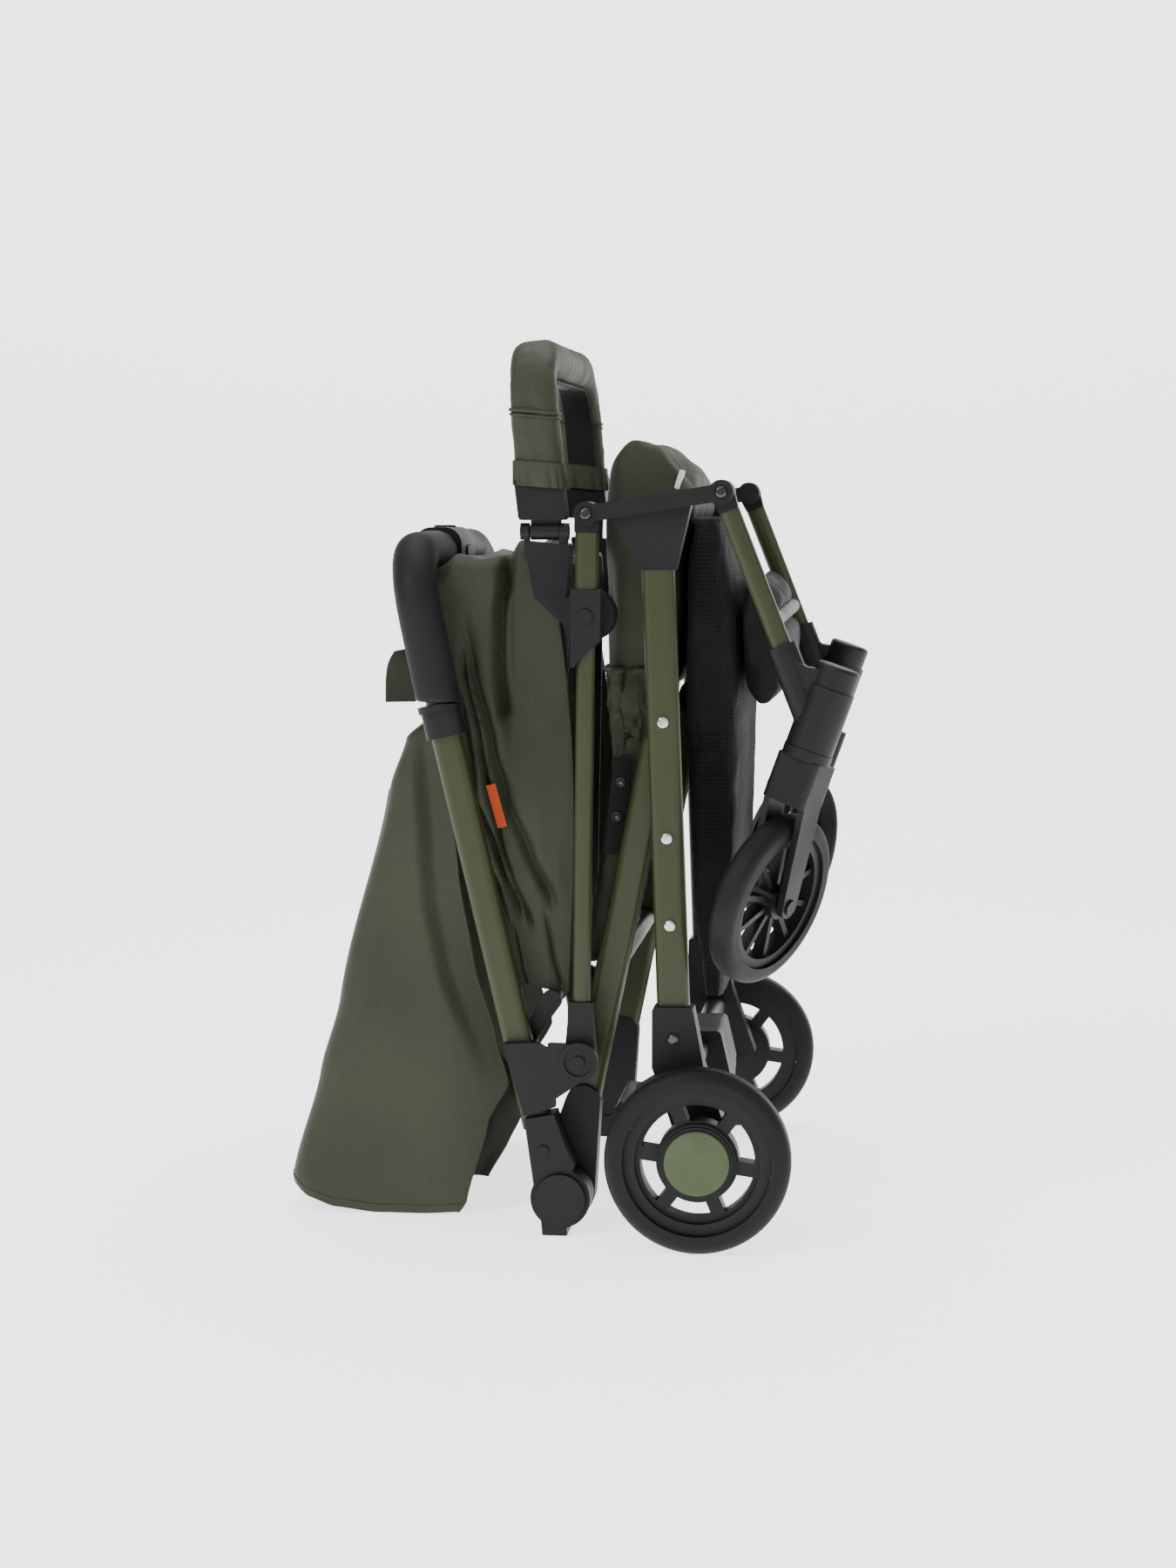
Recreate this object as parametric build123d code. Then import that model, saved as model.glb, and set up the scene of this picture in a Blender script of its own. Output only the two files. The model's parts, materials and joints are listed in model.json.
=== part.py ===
"""Compact folding stroller, modelled folded and standing on its rear wheels and two small feet.

Millimetres. +X points to the front of the stroller, +Z up, and the XZ plane is its plane of symmetry.
The side view is drawn once, for the right-hand side (-Y), and mirrored to the left-hand side.
Distances called "out" are measured from the symmetry plane towards the side.
"""

import math
import os

from build123d import *

# ---- driving dimensions ------------------------------------------------------------------------
AXLE_X = 108.5                 # rear axle, in front of the middle of the folded footprint

REAR_WHEEL_R = 70.0
REAR_WHEEL_W = 28.0
REAR_WHEEL_OUT = 227.0         # middle of the rear wheel
REAR_RIM_R = 55.5
REAR_HUB_R = 27.0
WINDOW_R_IN, WINDOW_R_OUT = 31.0, 43.0
REAR_SPOKES, REAR_SPOKE_W = 6, 10.5
HUB_CAP_R, HUB_CAP_T = 24.5, 3.0
AXLE_R = 5.0

FRONT_WHEEL_R = 68.0
FRONT_WHEEL_W = 22.0
FRONT_RIM_R = 54.0
FRONT_HUB_R = 13.0
FRONT_SPOKES, FRONT_SPOKE_W = 10, 4.5
FRONT_AXLE_R = 4.0

FRAME_OUT = 175.0              # middle of the rear legs, side rails, front legs and handle tubes
LOWER_OUT = 150.0              # middle of the lower back tubes, which pass inside the others
TUBE_DEPTH = 15.0              # every flat oval tube, across the stroller
TUBE_WALL = 1.6
LEG_W, LOWER_W, UPPER_W, FRONT_W = 25.0, 25.0, 23.0, 15.5
RAIL_W, RAIL_LOW_W = 18.0, 14.0

RUN = 0.05                     # radial clearance of a pin in its hole
FIT = 0.15                     # clearance of a tube in its plastic fitting
GAP = 0.6                      # clearance between parts that move past each other

# Side view, measured from the ground point under the rear axle: (forward, up).
AXLE = (0.0, REAR_WHEEL_R)
RAIL_PIVOT = (-88.7, 550.9)    # side rail on the hub
FRONT_PIVOT = (12.6, 567.1)    # front leg on the hub
SEAT_PIVOT = (-33.2, 394.9)    # lower back tube on the rear leg
ELBOW_PIVOT = (-94.0, 135.4)   # foot of the side rail on the handle tube's elbow
FOLD_PIVOT = (-108.2, 29.0)    # handle tube on the lower back tube, at the foot
HOOD_PIVOT = (-118.0, 178.0)
BUMPER_PIVOT = (-89.7, 474.0)
LEG_TOP, LEG_FOOT = (-35.4, 514.0), (-21.6, 146.0)
HANDLE_FOOT, HANDLE_TOP = (-131.9, 103.0), (-201.6, 402.0)
FRONT_FOOT = (57.5, 452.5)
SWIVEL = (78.9, 375.0)         # top of the caster fork, on its swivel axis
SWIVEL_LEAN = 19.7             # degrees off vertical while folded, upright once the stroller is open
CASTER_TURN = 62.0             # degrees that each caster is turned in while folded
CASTER_TRAIL, CASTER_DROP = 24.0, 120.0
PAD_OUT = 128.0                # half width of the seat and back pads
BRAKE_PIVOT = (-34.0, 88.0)
CROSSBAR = (-14.0, 120.0)
CROSSBAR_R = 9.0

IN, OUT = FRAME_OUT - TUBE_DEPTH / 2, FRAME_OUT + TUBE_DEPTH / 2
LOW_IN, LOW_OUT = LOWER_OUT - TUBE_DEPTH / 2, LOWER_OUT + TUBE_DEPTH / 2

SIDE = Plane(origin=(AXLE_X, 0, 0), x_dir=(1, 0, 0), z_dir=(0, -1, 0))
nodes = {}


# ---- helpers -----------------------------------------------------------------------------------
def along(a, b, distance):
    """Point on the way from a to b, at a distance from a."""
    length = math.hypot(b[0] - a[0], b[1] - a[1])
    return (a[0] + (b[0] - a[0]) * distance / length, a[1] + (b[1] - a[1]) * distance / length)


def span(a, b):
    return math.hypot(b[0] - a[0], b[1] - a[1])


def beside(a, b, distance, offset):
    """As along, then offset to the left of the direction a to b."""
    length = span(a, b)
    p = along(a, b, distance)
    return (p[0] - (b[1] - a[1]) * offset / length, p[1] + (b[0] - a[0]) * offset / length)


def point(p, out):
    return Vector(AXLE_X + p[0], -out, p[1])


def slab(sketch, inner, outer):
    return extrude(SIDE.offset(inner) * sketch, amount=outer - inner)


def plate(points, inner, outer, rounding=0.0):
    """Flat plate with the outline of points, from inner to outer."""
    face = Sketch() + make_face(Polyline(*points, close=True))
    if rounding:
        face = fillet(face.vertices(), rounding)
    return slab(face, inner, outer)


def disc(centre, radius, inner, outer):
    return slab(Pos(*centre) * Circle(radius), inner, outer)


def link(a, b, radius_a, radius_b, inner, outer):
    """Flat link with round ends."""
    ends = (Pos(*a) * Circle(radius_a)).edges() + (Pos(*b) * Circle(radius_b)).edges()
    return slab(make_hull(ends), inner, outer)


def flat_bar(a, b, width, depth, out):
    """Solid bar of flat oval section from a to b."""
    start, end = point(a, out), point(b, out)
    direction = end - start
    plane = Plane(origin=start, x_dir=(0, 1, 0), z_dir=direction.normalized())
    corner = min(width, depth) * 0.42
    return extrude(plane * RectangleRounded(depth, width, corner), amount=direction.length)


def flat_tube(a, b, width, out=FRAME_OUT, depth=TUBE_DEPTH):
    past = along(a, b, span(a, b) + 1)
    before = along(a, b, -1)
    bore = flat_bar(before, past, width - 2 * TUBE_WALL, depth - 2 * TUBE_WALL, out)
    return flat_bar(a, b, width, depth, out) - bore


def room_for(a, b, width, out=FRAME_OUT, depth=TUBE_DEPTH):
    return flat_bar(a, b, width + 2 * FIT, depth + 2 * FIT, out)


def cross_tube(centre, radius, half_length, wall=TUBE_WALL):
    return disc(centre, radius, -half_length, half_length) - disc(centre, radius - wall, -half_length, half_length)


def add(name, shape):
    nodes[name] = shape


def add_pair(name, right):
    nodes[name + "_right"] = right
    nodes[name + "_left"] = mirror(right, about=Plane.XZ)


def add_both(name, rights, middle=()):
    """One node for identical or small pieces: the right-hand ones, their mirror images and any on the centre."""
    solids = [s for r in rights for s in r.solids()]
    solids += [s for r in rights for s in mirror(r, about=Plane.XZ).solids()]
    solids += [s for m in middle for s in m.solids()]
    nodes[name] = Compound(children=solids)


# ---- rear axle and rear wheels -----------------------------------------------------------------
def wheel_ring(centre, outer_r, inner_r, middle, width, rounding):
    ring = disc(centre, outer_r, middle - width / 2, middle + width / 2)
    ring = fillet(ring.edges().filter_by(GeomType.CIRCLE), rounding)
    return ring - disc(centre, inner_r, middle - width, middle + width)


def window(middle_angle, r_in, r_out, pitch, spoke):
    """One opening between two straight spokes."""
    ring = Circle(r_out) - Circle(r_in)
    reach = r_out * 2
    half = math.radians(pitch / 2)
    wedge = make_face(Polyline((0, 0), (reach * math.cos(half), reach * math.sin(half)),
                               (reach * math.cos(half), -reach * math.sin(half)), close=True))
    start = spoke / 2 / math.sin(half)
    return Rot(0, 0, middle_angle) * (ring & Pos(start, 0) * wedge)


def make_rear_wheel():
    pitch = 360 / REAR_SPOKES
    inner, outer = REAR_WHEEL_OUT - REAR_WHEEL_W / 2, REAR_WHEEL_OUT + REAR_WHEEL_W / 2
    tyre = wheel_ring(AXLE, REAR_WHEEL_R, REAR_RIM_R + FIT, REAR_WHEEL_OUT, REAR_WHEEL_W, 9)
    rim = disc(AXLE, REAR_RIM_R, inner + 3, outer - 5)
    rim -= disc(AXLE, WINDOW_R_OUT + 4, outer - 9, outer) - disc(AXLE, WINDOW_R_IN - 2, outer - 9, outer)
    rim += disc(AXLE, REAR_HUB_R, inner, outer - HUB_CAP_T)
    for k in range(REAR_SPOKES):
        opening = window(k * pitch + 22, WINDOW_R_IN, WINDOW_R_OUT, pitch, REAR_SPOKE_W)
        rim -= slab(Pos(*AXLE) * opening, inner - 1, outer + 1)
    rim -= disc(AXLE, AXLE_R + RUN, inner - 1, outer - 6)
    cap = disc(AXLE, HUB_CAP_R, outer - HUB_CAP_T + 0.01, outer)
    cap = fillet(cap.edges().group_by(Axis.Y)[0], 1)
    add_pair("rear_tyre", tyre)
    add_pair("rear_rim", rim)
    add_pair("hub_cap", cap)


def make_rear_axle():
    half = REAR_WHEEL_OUT + REAR_WHEEL_W / 2 - 7
    add("rear_axle", disc(AXLE, AXLE_R, -half, half))


# ---- rear frame --------------------------------------------------------------------------------
HUB_OUT, HUB_IN, HUB_PLATE = OUT + GAP + 7, IN - GAP - 7, 7.0
EYE_R = 9.3
PIN_R = 4.0
BRACKET_OUT = 188.0
LEG_RIVETS = (394.5, 306.5, 240.0)
BOLT_R, BOLT_H = 4.4, 3.0


def leg_x(z):
    t = (LEG_TOP[1] - z) / (LEG_TOP[1] - LEG_FOOT[1])
    return LEG_TOP[0] + t * (LEG_FOOT[0] - LEG_TOP[0])


def make_rear_legs():
    leg = flat_tube(LEG_TOP, LEG_FOOT, LEG_W)
    boss = disc(SEAT_PIVOT, 10, LOW_OUT + GAP, IN + TUBE_WALL / 2)
    pin = disc(SEAT_PIVOT, PIN_R, LOW_IN, IN + TUBE_WALL / 2)
    add_pair("rear_leg", leg + boss + pin)


def make_hubs():
    foot_l, foot_r = leg_x(509) - LEG_W / 2 - 1.5, leg_x(509) + LEG_W / 2 + 1.5
    bar_l, bar_r = along(RAIL_PIVOT, FRONT_PIVOT, 20), along(RAIL_PIVOT, FRONT_PIVOT, span(RAIL_PIVOT, FRONT_PIVOT) - 23)
    core = plate([(bar_l[0], bar_l[1] - 6), (bar_l[0], bar_l[1] + 6), (bar_r[0], bar_r[1] + 6),
                  (bar_r[0], bar_r[1] - 6), (foot_r, 509), (foot_l, 509)], IN - GAP, OUT + GAP)
    hub = core - room_for(LEG_TOP, LEG_FOOT, LEG_W)
    for inner, outer in ((OUT + GAP, HUB_OUT), (HUB_IN, IN - GAP)):
        hub += link(RAIL_PIVOT, FRONT_PIVOT, 6.3, 6.3, inner, outer)
        hub += disc(RAIL_PIVOT, EYE_R, inner, outer) + disc(FRONT_PIVOT, EYE_R, inner, outer)
    for pivot in (RAIL_PIVOT, FRONT_PIVOT):
        hub += disc(pivot, PIN_R, HUB_IN, HUB_OUT)
    add_pair("hub", hub)


def make_wheel_brackets():
    top = 178.0
    x = leg_x(top)
    outline = [(x - LEG_W / 2 - 3, top), (x + LEG_W / 2 + 3, top), (x + 24, top - 45), (21, 78), (14, 54),
               (-14, 54), (-22, 84), (x - LEG_W / 2 - 3, top - 46)]
    bracket = plate(outline, IN - 2.5, BRACKET_OUT, 3)
    bracket -= room_for(LEG_TOP, along(LEG_TOP, LEG_FOOT, span(LEG_TOP, LEG_FOOT) + 0.2), LEG_W)
    bracket += disc(AXLE, 19, BRACKET_OUT, REAR_WHEEL_OUT - REAR_WHEEL_W / 2 - 1)
    bracket -= disc(AXLE, AXLE_R + RUN, IN - 4, REAR_WHEEL_OUT)
    add_both("wheel_brackets", [bracket])


def make_rear_crossbar():
    tube = cross_tube(CROSSBAR, CROSSBAR_R, IN - 2.5 - 0.01)
    add("rear_crossbar", tube)


def make_brake():
    half = 42.0
    block = plate([(-28, 134), (4, 134), (12, 100), (10, 60), (-12, 58), (-24, 72), (-30, 104)], -half, half, 4)
    block -= disc(CROSSBAR, CROSSBAR_R + FIT, -half - 1, half + 1)
    block -= disc(AXLE, AXLE_R + GAP, -half - 1, half + 1)
    ear = link((-20, 96), BRAKE_PIVOT, 8, 6, 30, 40)
    pin = disc(BRAKE_PIVOT, 2.5, -40, 40)
    add("brake_housing", block + ear + mirror(ear, about=Plane.XZ) + pin)
    barrel = disc(BRAKE_PIVOT, 5.5, -29, 29)
    arm = plate([(-34, 93.5), (-38, 82.5), (-62, 66), (-70, 68), (-71, 74), (-52, 86)], -29, 29, 2)
    tread = plate([(-56, 61), (-78, 62), (-82, 68), (-78, 75), (-58, 72)], -46, 46, 2)
    pedal = barrel + arm + tread
    add("brake_pedal", pedal - disc(BRAKE_PIVOT, 2.5 + RUN, -30, 30))


def make_frame_fasteners():
    rivets = []
    for z in LEG_RIVETS:
        head = disc((leg_x(z), z), 4.6, OUT + 0.01, OUT + 2.2)
        rivets.append(fillet(head.edges().group_by(Axis.Y)[0], 1.8))
    add_both("frame_rivets", rivets)
    bolts = []
    for centre, face in ((RAIL_PIVOT, HUB_OUT), (FRONT_PIVOT, HUB_OUT), ((leg_x(154), 154), BRACKET_OUT)):
        head = disc(centre, BOLT_R, face + 0.01, face + BOLT_H)
        bolts.append(fillet(head.edges().group_by(Axis.Y)[0], 2))
    add_both("frame_bolts", bolts)


def make_seat_pad():
    outline = [(-77, 400), (-30, 400), (-26, 520), (-14, 556), (-15, 586), (-40, 611), (-64, 619), (-77, 598), (-80, 550)]
    add("seat_pad", plate(outline, -PAD_OUT, PAD_OUT, 5))


def make_basket():
    outline = [(-12, 192), (12, 182), (26, 390), (22, 470), (2, 535), (-8, 540), (-19, 500), (-22, 400), (-18, 250)]
    inside = [(-8, 200), (8, 190), (22, 390), (18, 470), (4, 520), (4, 560), (-13, 560), (-15, 500), (-18, 400), (-14, 250)]
    add("basket", plate(outline, -PAD_OUT, PAD_OUT, 4) - plate(inside, 4 - PAD_OUT, PAD_OUT - 4))


# ---- side rails and bumper bar -----------------------------------------------------------------
JOINT_TOP, JOINT_BOTTOM = 494.0, 434.0
RAIL_EYE_IN, RAIL_EYE_OUT = IN - 1.5, OUT
BUMPER_OUT = 150.0
BUMPER_W, BUMPER_DEPTH = 38.0, 26.0
SOCKET_R = 20.0
BUMPER_LEAN = 5.0              # degrees that the folded bar leans back
BUMPER_ROOT, BUMPER_TOP = (-124.4, 540.0), 670.0
BUMPER_CORNER = 48.0
KNUCKLE_R, KNUCKLE_PIN_R = 6.4, 2.5
KNUCKLE_OUT, KNUCKLE_Z = 156.5, 537.5


def rail_x(z):
    t = (RAIL_PIVOT[1] - z) / (RAIL_PIVOT[1] - ELBOW_PIVOT[1])
    return RAIL_PIVOT[0] + t * (ELBOW_PIVOT[0] - RAIL_PIVOT[0])


def make_side_rails():
    middle = (rail_x(466), 466)
    top, foot = along(RAIL_PIVOT, ELBOW_PIVOT, 14), (rail_x(164), 164)
    upper = flat_tube(top, middle, RAIL_W)
    lower = flat_tube(middle, foot, RAIL_LOW_W, depth=TUBE_DEPTH - 2)
    add_pair("side_rail", upper + lower)

    cap = link(RAIL_PIVOT, along(RAIL_PIVOT, ELBOW_PIVOT, 12), EYE_R, EYE_R, IN, OUT)
    cap &= plate([(-120, 570), (-60, 570), (-60, top[1] + 0.2), (-120, top[1] + 0.2)], IN, OUT)
    cap -= disc(RAIL_PIVOT, PIN_R + RUN, IN - 1, OUT + 1)
    x = rail_x(JOINT_TOP)
    sleeve = plate([(x - 11.5, JOINT_TOP), (x + 11.5, JOINT_TOP), (x + 11, JOINT_BOTTOM + 22), (x - 12, JOINT_BOTTOM)],
                   IN - 2, OUT + 2, 1)
    sleeve -= room_for(top, middle, RAIL_W)
    sleeve -= room_for(middle, foot, RAIL_LOW_W, depth=TUBE_DEPTH - 2)
    pin = disc(BUMPER_PIVOT, 5, BUMPER_OUT - 13, IN - 2 + 0.5)
    sleeve += pin
    sleeve += disc(BUMPER_PIVOT, 5.5, OUT + 2, OUT + 4)
    end = link((foot[0], 168), ELBOW_PIVOT, 9.5, 12, RAIL_EYE_IN, RAIL_EYE_OUT)
    end += plate([(foot[0] - 9.5, 180), (foot[0] + 9.5, 180), (foot[0] + 9.5, 160), (foot[0] - 9.5, 160)], IN - 1.5, OUT + 1.5, 1)
    end -= room_for(middle, foot, RAIL_LOW_W, depth=TUBE_DEPTH - 2)
    end -= disc(ELBOW_PIVOT, PIN_R + RUN, IN - 3, OUT + 3)
    add_both("rail_fittings", [cap, sleeve, end])


def u_path(root, top_z, half, corner):
    """Centre line of a U in the plane through the Y axis and the leaning line from root up to top_z."""
    lean = math.tan(math.radians(BUMPER_LEAN))
    top = (root[0] - (top_z - root[1]) * lean, top_z)
    return FilletPolyline(point(root, half), point(top, half), point(top, -half), point(root, -half), radius=corner)


def sweep_u(path, width, depth, corner):
    start = Plane(origin=path @ 0, x_dir=(0, 1, 0), z_dir=path % 0)
    return sweep(start * RectangleRounded(depth, width, corner), path=path)


def knuckle(low_x, high_x, radius):
    """Round bar along X on the gate hinge of the bumper bar."""
    start = Plane(origin=point((low_x, KNUCKLE_Z), KNUCKLE_OUT), x_dir=(0, 1, 0), z_dir=(1, 0, 0))
    return extrude(start * Circle(radius), amount=high_x - low_x)


def make_bumper():
    inner, outer = BUMPER_OUT - BUMPER_DEPTH / 2, BUMPER_OUT + BUMPER_DEPTH / 2
    socket_out = IN - 2 - GAP
    cup = plate([(-131, 486), (-107, 484), (-103.5, 528), (-139, 530)], inner, outer, 2)
    neck = plate([(-131, 488), (-104, 488), (-92, 456), (-100, 458)], inner, min(outer, socket_out), 1)
    socket = cup + neck + disc(BUMPER_PIVOT, SOCKET_R, inner, socket_out)
    socket &= slab(Pos(-110, 500) * Rectangle(100, 120), inner - 1, socket_out)
    socket -= disc(BUMPER_PIVOT, 5 + RUN, inner - 1, socket_out + 1)

    path = u_path(BUMPER_ROOT, BUMPER_TOP, BUMPER_OUT, BUMPER_CORNER)
    core = sweep_u(path, 20, 9, 3)
    boots = plate([(-143, 546), (-107, 546), (-110.5, 580), (-147, 580)], inner, outer, 3)
    boots -= plate([(-200, 576), (-60, 576), (-60, 600), (-200, 600)], inner - 1, outer + 1)
    lug = plate([(-134, KNUCKLE_Z), (-112.5, KNUCKLE_Z), (-112.5, 547), (-134, 547)], inner + 4, outer - 4)
    frame = core + boots + mirror(boots, about=Plane.XZ) + lug
    frame += knuckle(-134, -112.5, KNUCKLE_R)
    frame -= knuckle(-150, -100, KNUCKLE_PIN_R + RUN)
    tongue = mirror(plate([(-131, 512), (-113, 512), (-112, 550), (-134, 550)], BUMPER_OUT - 4, BUMPER_OUT + 4, 2), about=Plane.XZ)
    frame += tongue
    add("bumper_frame", frame)

    ears = knuckle(-142, -135.3, KNUCKLE_R) + knuckle(-112.1, -105, KNUCKLE_R) + knuckle(-142, -105, KNUCKLE_PIN_R)
    for low, high in ((-139, -135.3), (-112.1, -106)):
        ears += plate([(low, 526), (high, 526), (high, KNUCKLE_Z), (low, KNUCKLE_Z)], KNUCKLE_OUT - 5, KNUCKLE_OUT + 5)
    socket_right = socket + ears
    socket_left = mirror(socket, about=Plane.XZ)
    socket_left -= mirror(plate([(-133, 510), (-111, 510), (-110, 560), (-136, 560)], BUMPER_OUT - 5, BUMPER_OUT + 5), about=Plane.XZ)
    button_z = 508.0
    hole = mirror(disc((-121, button_z), 5 + RUN * 4, BUMPER_OUT + 6, outer + 4), about=Plane.XZ)
    socket_left -= hole
    add("bumper_socket_right", socket_right)
    add("bumper_socket_left", socket_left)
    button = mirror(disc((-121, button_z), 5, BUMPER_OUT + 9.5, outer + 3.5), about=Plane.XZ)
    add("bumper_release", button)

    cover = sweep_u(path, BUMPER_W, 30, 11)
    cover -= sweep_u(path, 20 + 2 * FIT, 9 + 2 * FIT, 3)
    cover -= slab(Pos(-120, 480) * Rectangle(200, 2 * 100.5), -250, 250)
    add("bumper_cover", cover)


# ---- lower back tubes --------------------------------------------------------------------------
LOWER_BAR_Z = 200.0
JOINT_SPLIT = 162.5            # between the inner and the outer half of the fold joint
FOLD_PIN_R = 6.0


def lower_x(z):
    t = (SEAT_PIVOT[1] - z) / (SEAT_PIVOT[1] - FOLD_PIVOT[1])
    return SEAT_PIVOT[0] + t * (FOLD_PIVOT[0] - SEAT_PIVOT[0])


def make_lower_frame():
    top, foot = along(SEAT_PIVOT, FOLD_PIVOT, 16), (lower_x(88), 88)
    tube = flat_tube(top, foot, LOWER_W, LOWER_OUT)
    bar_at = (lower_x(LOWER_BAR_Z), LOWER_BAR_Z)
    add_pair("lower_tube", tube)
    eye = link(SEAT_PIVOT, along(SEAT_PIVOT, FOLD_PIVOT, 30), LOWER_W / 2 - 0.5, 9, LOW_IN, LOW_OUT)
    eye -= flat_bar(top, foot, LOWER_W + 2, TUBE_DEPTH + 2, LOWER_OUT)
    eye -= disc(SEAT_PIVOT, PIN_R + RUN, LOW_IN - 1, LOW_OUT + 1)
    shank_top = beside(SEAT_PIVOT, FOLD_PIVOT, span(SEAT_PIVOT, (lower_x(98), 98)), 0)
    end = link(shank_top, FOLD_PIVOT, 13.5, 23.5, LOW_IN - 1.5, JOINT_SPLIT - GAP / 2)
    end -= room_for(top, foot, LOWER_W, LOWER_OUT)
    end -= disc(FOLD_PIVOT, FOLD_PIN_R + RUN, LOW_IN - 3, JOINT_SPLIT + 1)
    add_both("lower_ends", [eye, end])
    add("lower_crossbar", cross_tube(bar_at, 8, LOW_IN - 0.01))


def make_lower_pad():
    top, low = 384.0, 196.0
    near, far = -12.0, -27.0
    outline = [(lower_x(top) + near, top), (lower_x(low) + near, low), (lower_x(low) + far, low), (lower_x(top) + far - 4, top)]
    add("back_pad_lower", plate(outline, -PAD_OUT, PAD_OUT, 3))


# ---- handle tubes and handle -------------------------------------------------------------------
ELBOW_OUT = 190.5
ARM_IN = OUT + 1.5 + GAP          # the elbow's arm passes outside the whole foot of the side rail
CAP_R = 19.3
GRIP_R, BOW_R = 17.5, 10.0
HANDLE_HALF = FRAME_OUT
HANDLE_BEND = 46.0
HANDLE_LEAN = 11.7
HANDLE_RISE = 118.0
HOUSING_HALF = 36.0


def upper_x(z):
    t = (z - HANDLE_FOOT[1]) / (HANDLE_TOP[1] - HANDLE_FOOT[1])
    return HANDLE_FOOT[0] + t * (HANDLE_TOP[0] - HANDLE_FOOT[0])


def make_upper_frame():
    foot = (upper_x(82), 82)
    tube = flat_tube(foot, HANDLE_TOP, UPPER_W)
    add_pair("upper_tube", tube)
    room = room_for((upper_x(60), 60), HANDLE_TOP, UPPER_W)

    sleeve = plate([(-152.5, 148), (-126, 149.5), (-112, 142), (-112, 108), (-111.6, 100), (-136.4, 92.5)],
                   IN - 2, ELBOW_OUT, 1)
    arm = plate([(-118, 149), (-97, 149), (-90, 121), (-112, 106)], ARM_IN, ELBOW_OUT, 1)
    boss = disc(ELBOW_PIVOT, 14.8, ARM_IN, ELBOW_OUT)
    collar = disc(ELBOW_PIVOT, 14.8, ELBOW_OUT, ELBOW_OUT + 2) - disc(ELBOW_PIVOT, 11.2, ELBOW_OUT, ELBOW_OUT + 2)
    hood_arm = link((-138, 146), HOOD_PIVOT, 5, 8, IN - 7, IN - 2)
    hood_arm += disc(HOOD_PIVOT, 6, 132, IN - 2) + disc(HOOD_PIVOT, 3, 116, 132)
    head = disc(ELBOW_PIVOT, BOLT_R, ELBOW_OUT, ELBOW_OUT + 2.5)
    swing = plate([(upper_x(160) + 14.8, 160), (upper_x(85) + 14.8, 85), (-80, 85), (-80, 160)], IN - 3, ARM_IN)
    elbow = (sleeve - swing) + arm + boss + collar + head + hood_arm - room
    add_pair("elbow", elbow)

    shank = plate([(-136, 90), (-113, 94), (-98, 52), (-108, 40), (-128, 34)], JOINT_SPLIT + GAP / 2, ELBOW_OUT, 1)
    joint = shank + disc(FOLD_PIVOT, 23, JOINT_SPLIT + GAP / 2, ELBOW_OUT)
    joint += disc(FOLD_PIVOT, CAP_R, ELBOW_OUT, ELBOW_OUT + 4)
    joint += plate([(-124, 20), (-103, 12), (-103, 0), (-122, 0)], JOINT_SPLIT + GAP / 2, ELBOW_OUT)
    joint -= room
    joint += disc(FOLD_PIVOT, FOLD_PIN_R, LOW_IN, JOINT_SPLIT + GAP)
    joint += disc((-121, 66), 4, ELBOW_OUT, ELBOW_OUT + 2)
    add_pair("fold_joint", joint)


def handle_path():
    top = (HANDLE_TOP[0] - math.tan(math.radians(HANDLE_LEAN)) * HANDLE_RISE, HANDLE_TOP[1] + HANDLE_RISE)
    root = along(HANDLE_FOOT, HANDLE_TOP, span(HANDLE_FOOT, HANDLE_TOP) + 0.6)
    return FilletPolyline(point(root, HANDLE_HALF), point(top, HANDLE_HALF), point(top, -HANDLE_HALF),
                          point(root, -HANDLE_HALF), radius=HANDLE_BEND), top


def round_sweep(path, radius):
    start = Plane(origin=path @ 0, x_dir=(0, 1, 0), z_dir=path % 0)
    return sweep(start * Circle(radius), path=path)


def make_handle():
    path, top = handle_path()
    bow = round_sweep(path, BOW_R)
    add("handle_bow", bow)
    foam = round_sweep(path, GRIP_R) - round_sweep(path, BOW_R + FIT)
    middle = disc(top, GRIP_R + 5, -HOUSING_HALF - FIT, HOUSING_HALF + FIT)
    lower_cut = slab(Pos(HANDLE_TOP[0], HANDLE_TOP[1] - 44) * Rectangle(90, 100), -250, 250)
    foam = foam - middle - lower_cut
    add("handle_grips", foam)

    collar = flat_bar((upper_x(382), 382), (upper_x(401.9), 401.9), 30, 22, FRAME_OUT)
    collar += flat_bar((upper_x(401.8), 401.8), (upper_x(407), 407), 33, 30, FRAME_OUT)
    collar -= room_for((upper_x(370), 370), HANDLE_TOP, UPPER_W)
    collar -= round_sweep(path, BOW_R + FIT)
    collar -= slab(Pos(HANDLE_TOP[0], HANDLE_TOP[1] + 55) * Rectangle(90, 99), 100, 250)
    housing = slab(Pos(*top) * RectangleRounded(39, 39, 14), -HOUSING_HALF, HOUSING_HALF)
    housing -= disc(top, BOW_R + FIT, -HOUSING_HALF - 1, HOUSING_HALF + 1)
    deck = top[1] + 19.5
    up = Plane(origin=(AXLE_X + top[0], 0, deck), x_dir=(1, 0, 0), z_dir=(0, 0, 1))
    well = extrude(up * Circle(9 + 2 * RUN), amount=-8)
    front = Plane(origin=(AXLE_X + top[0] + 19.5, 0, top[1]), x_dir=(0, 1, 0), z_dir=(1, 0, 0))
    slot = extrude(front * RectangleRounded(26, 10, 4), amount=-4)
    add_both("handle_fittings", [collar], [housing - well - slot])
    button = extrude(up.offset(-3.8) * Circle(9), amount=5.3)
    button = fillet(button.edges().group_by(Axis.Z)[-1], 1)
    add("fold_button", button)
    slider = extrude(front.offset(-3.8) * Pos(-4, 0) * RectangleRounded(16, 9, 3), amount=5.3)
    add("lock_slider", slider)


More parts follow.
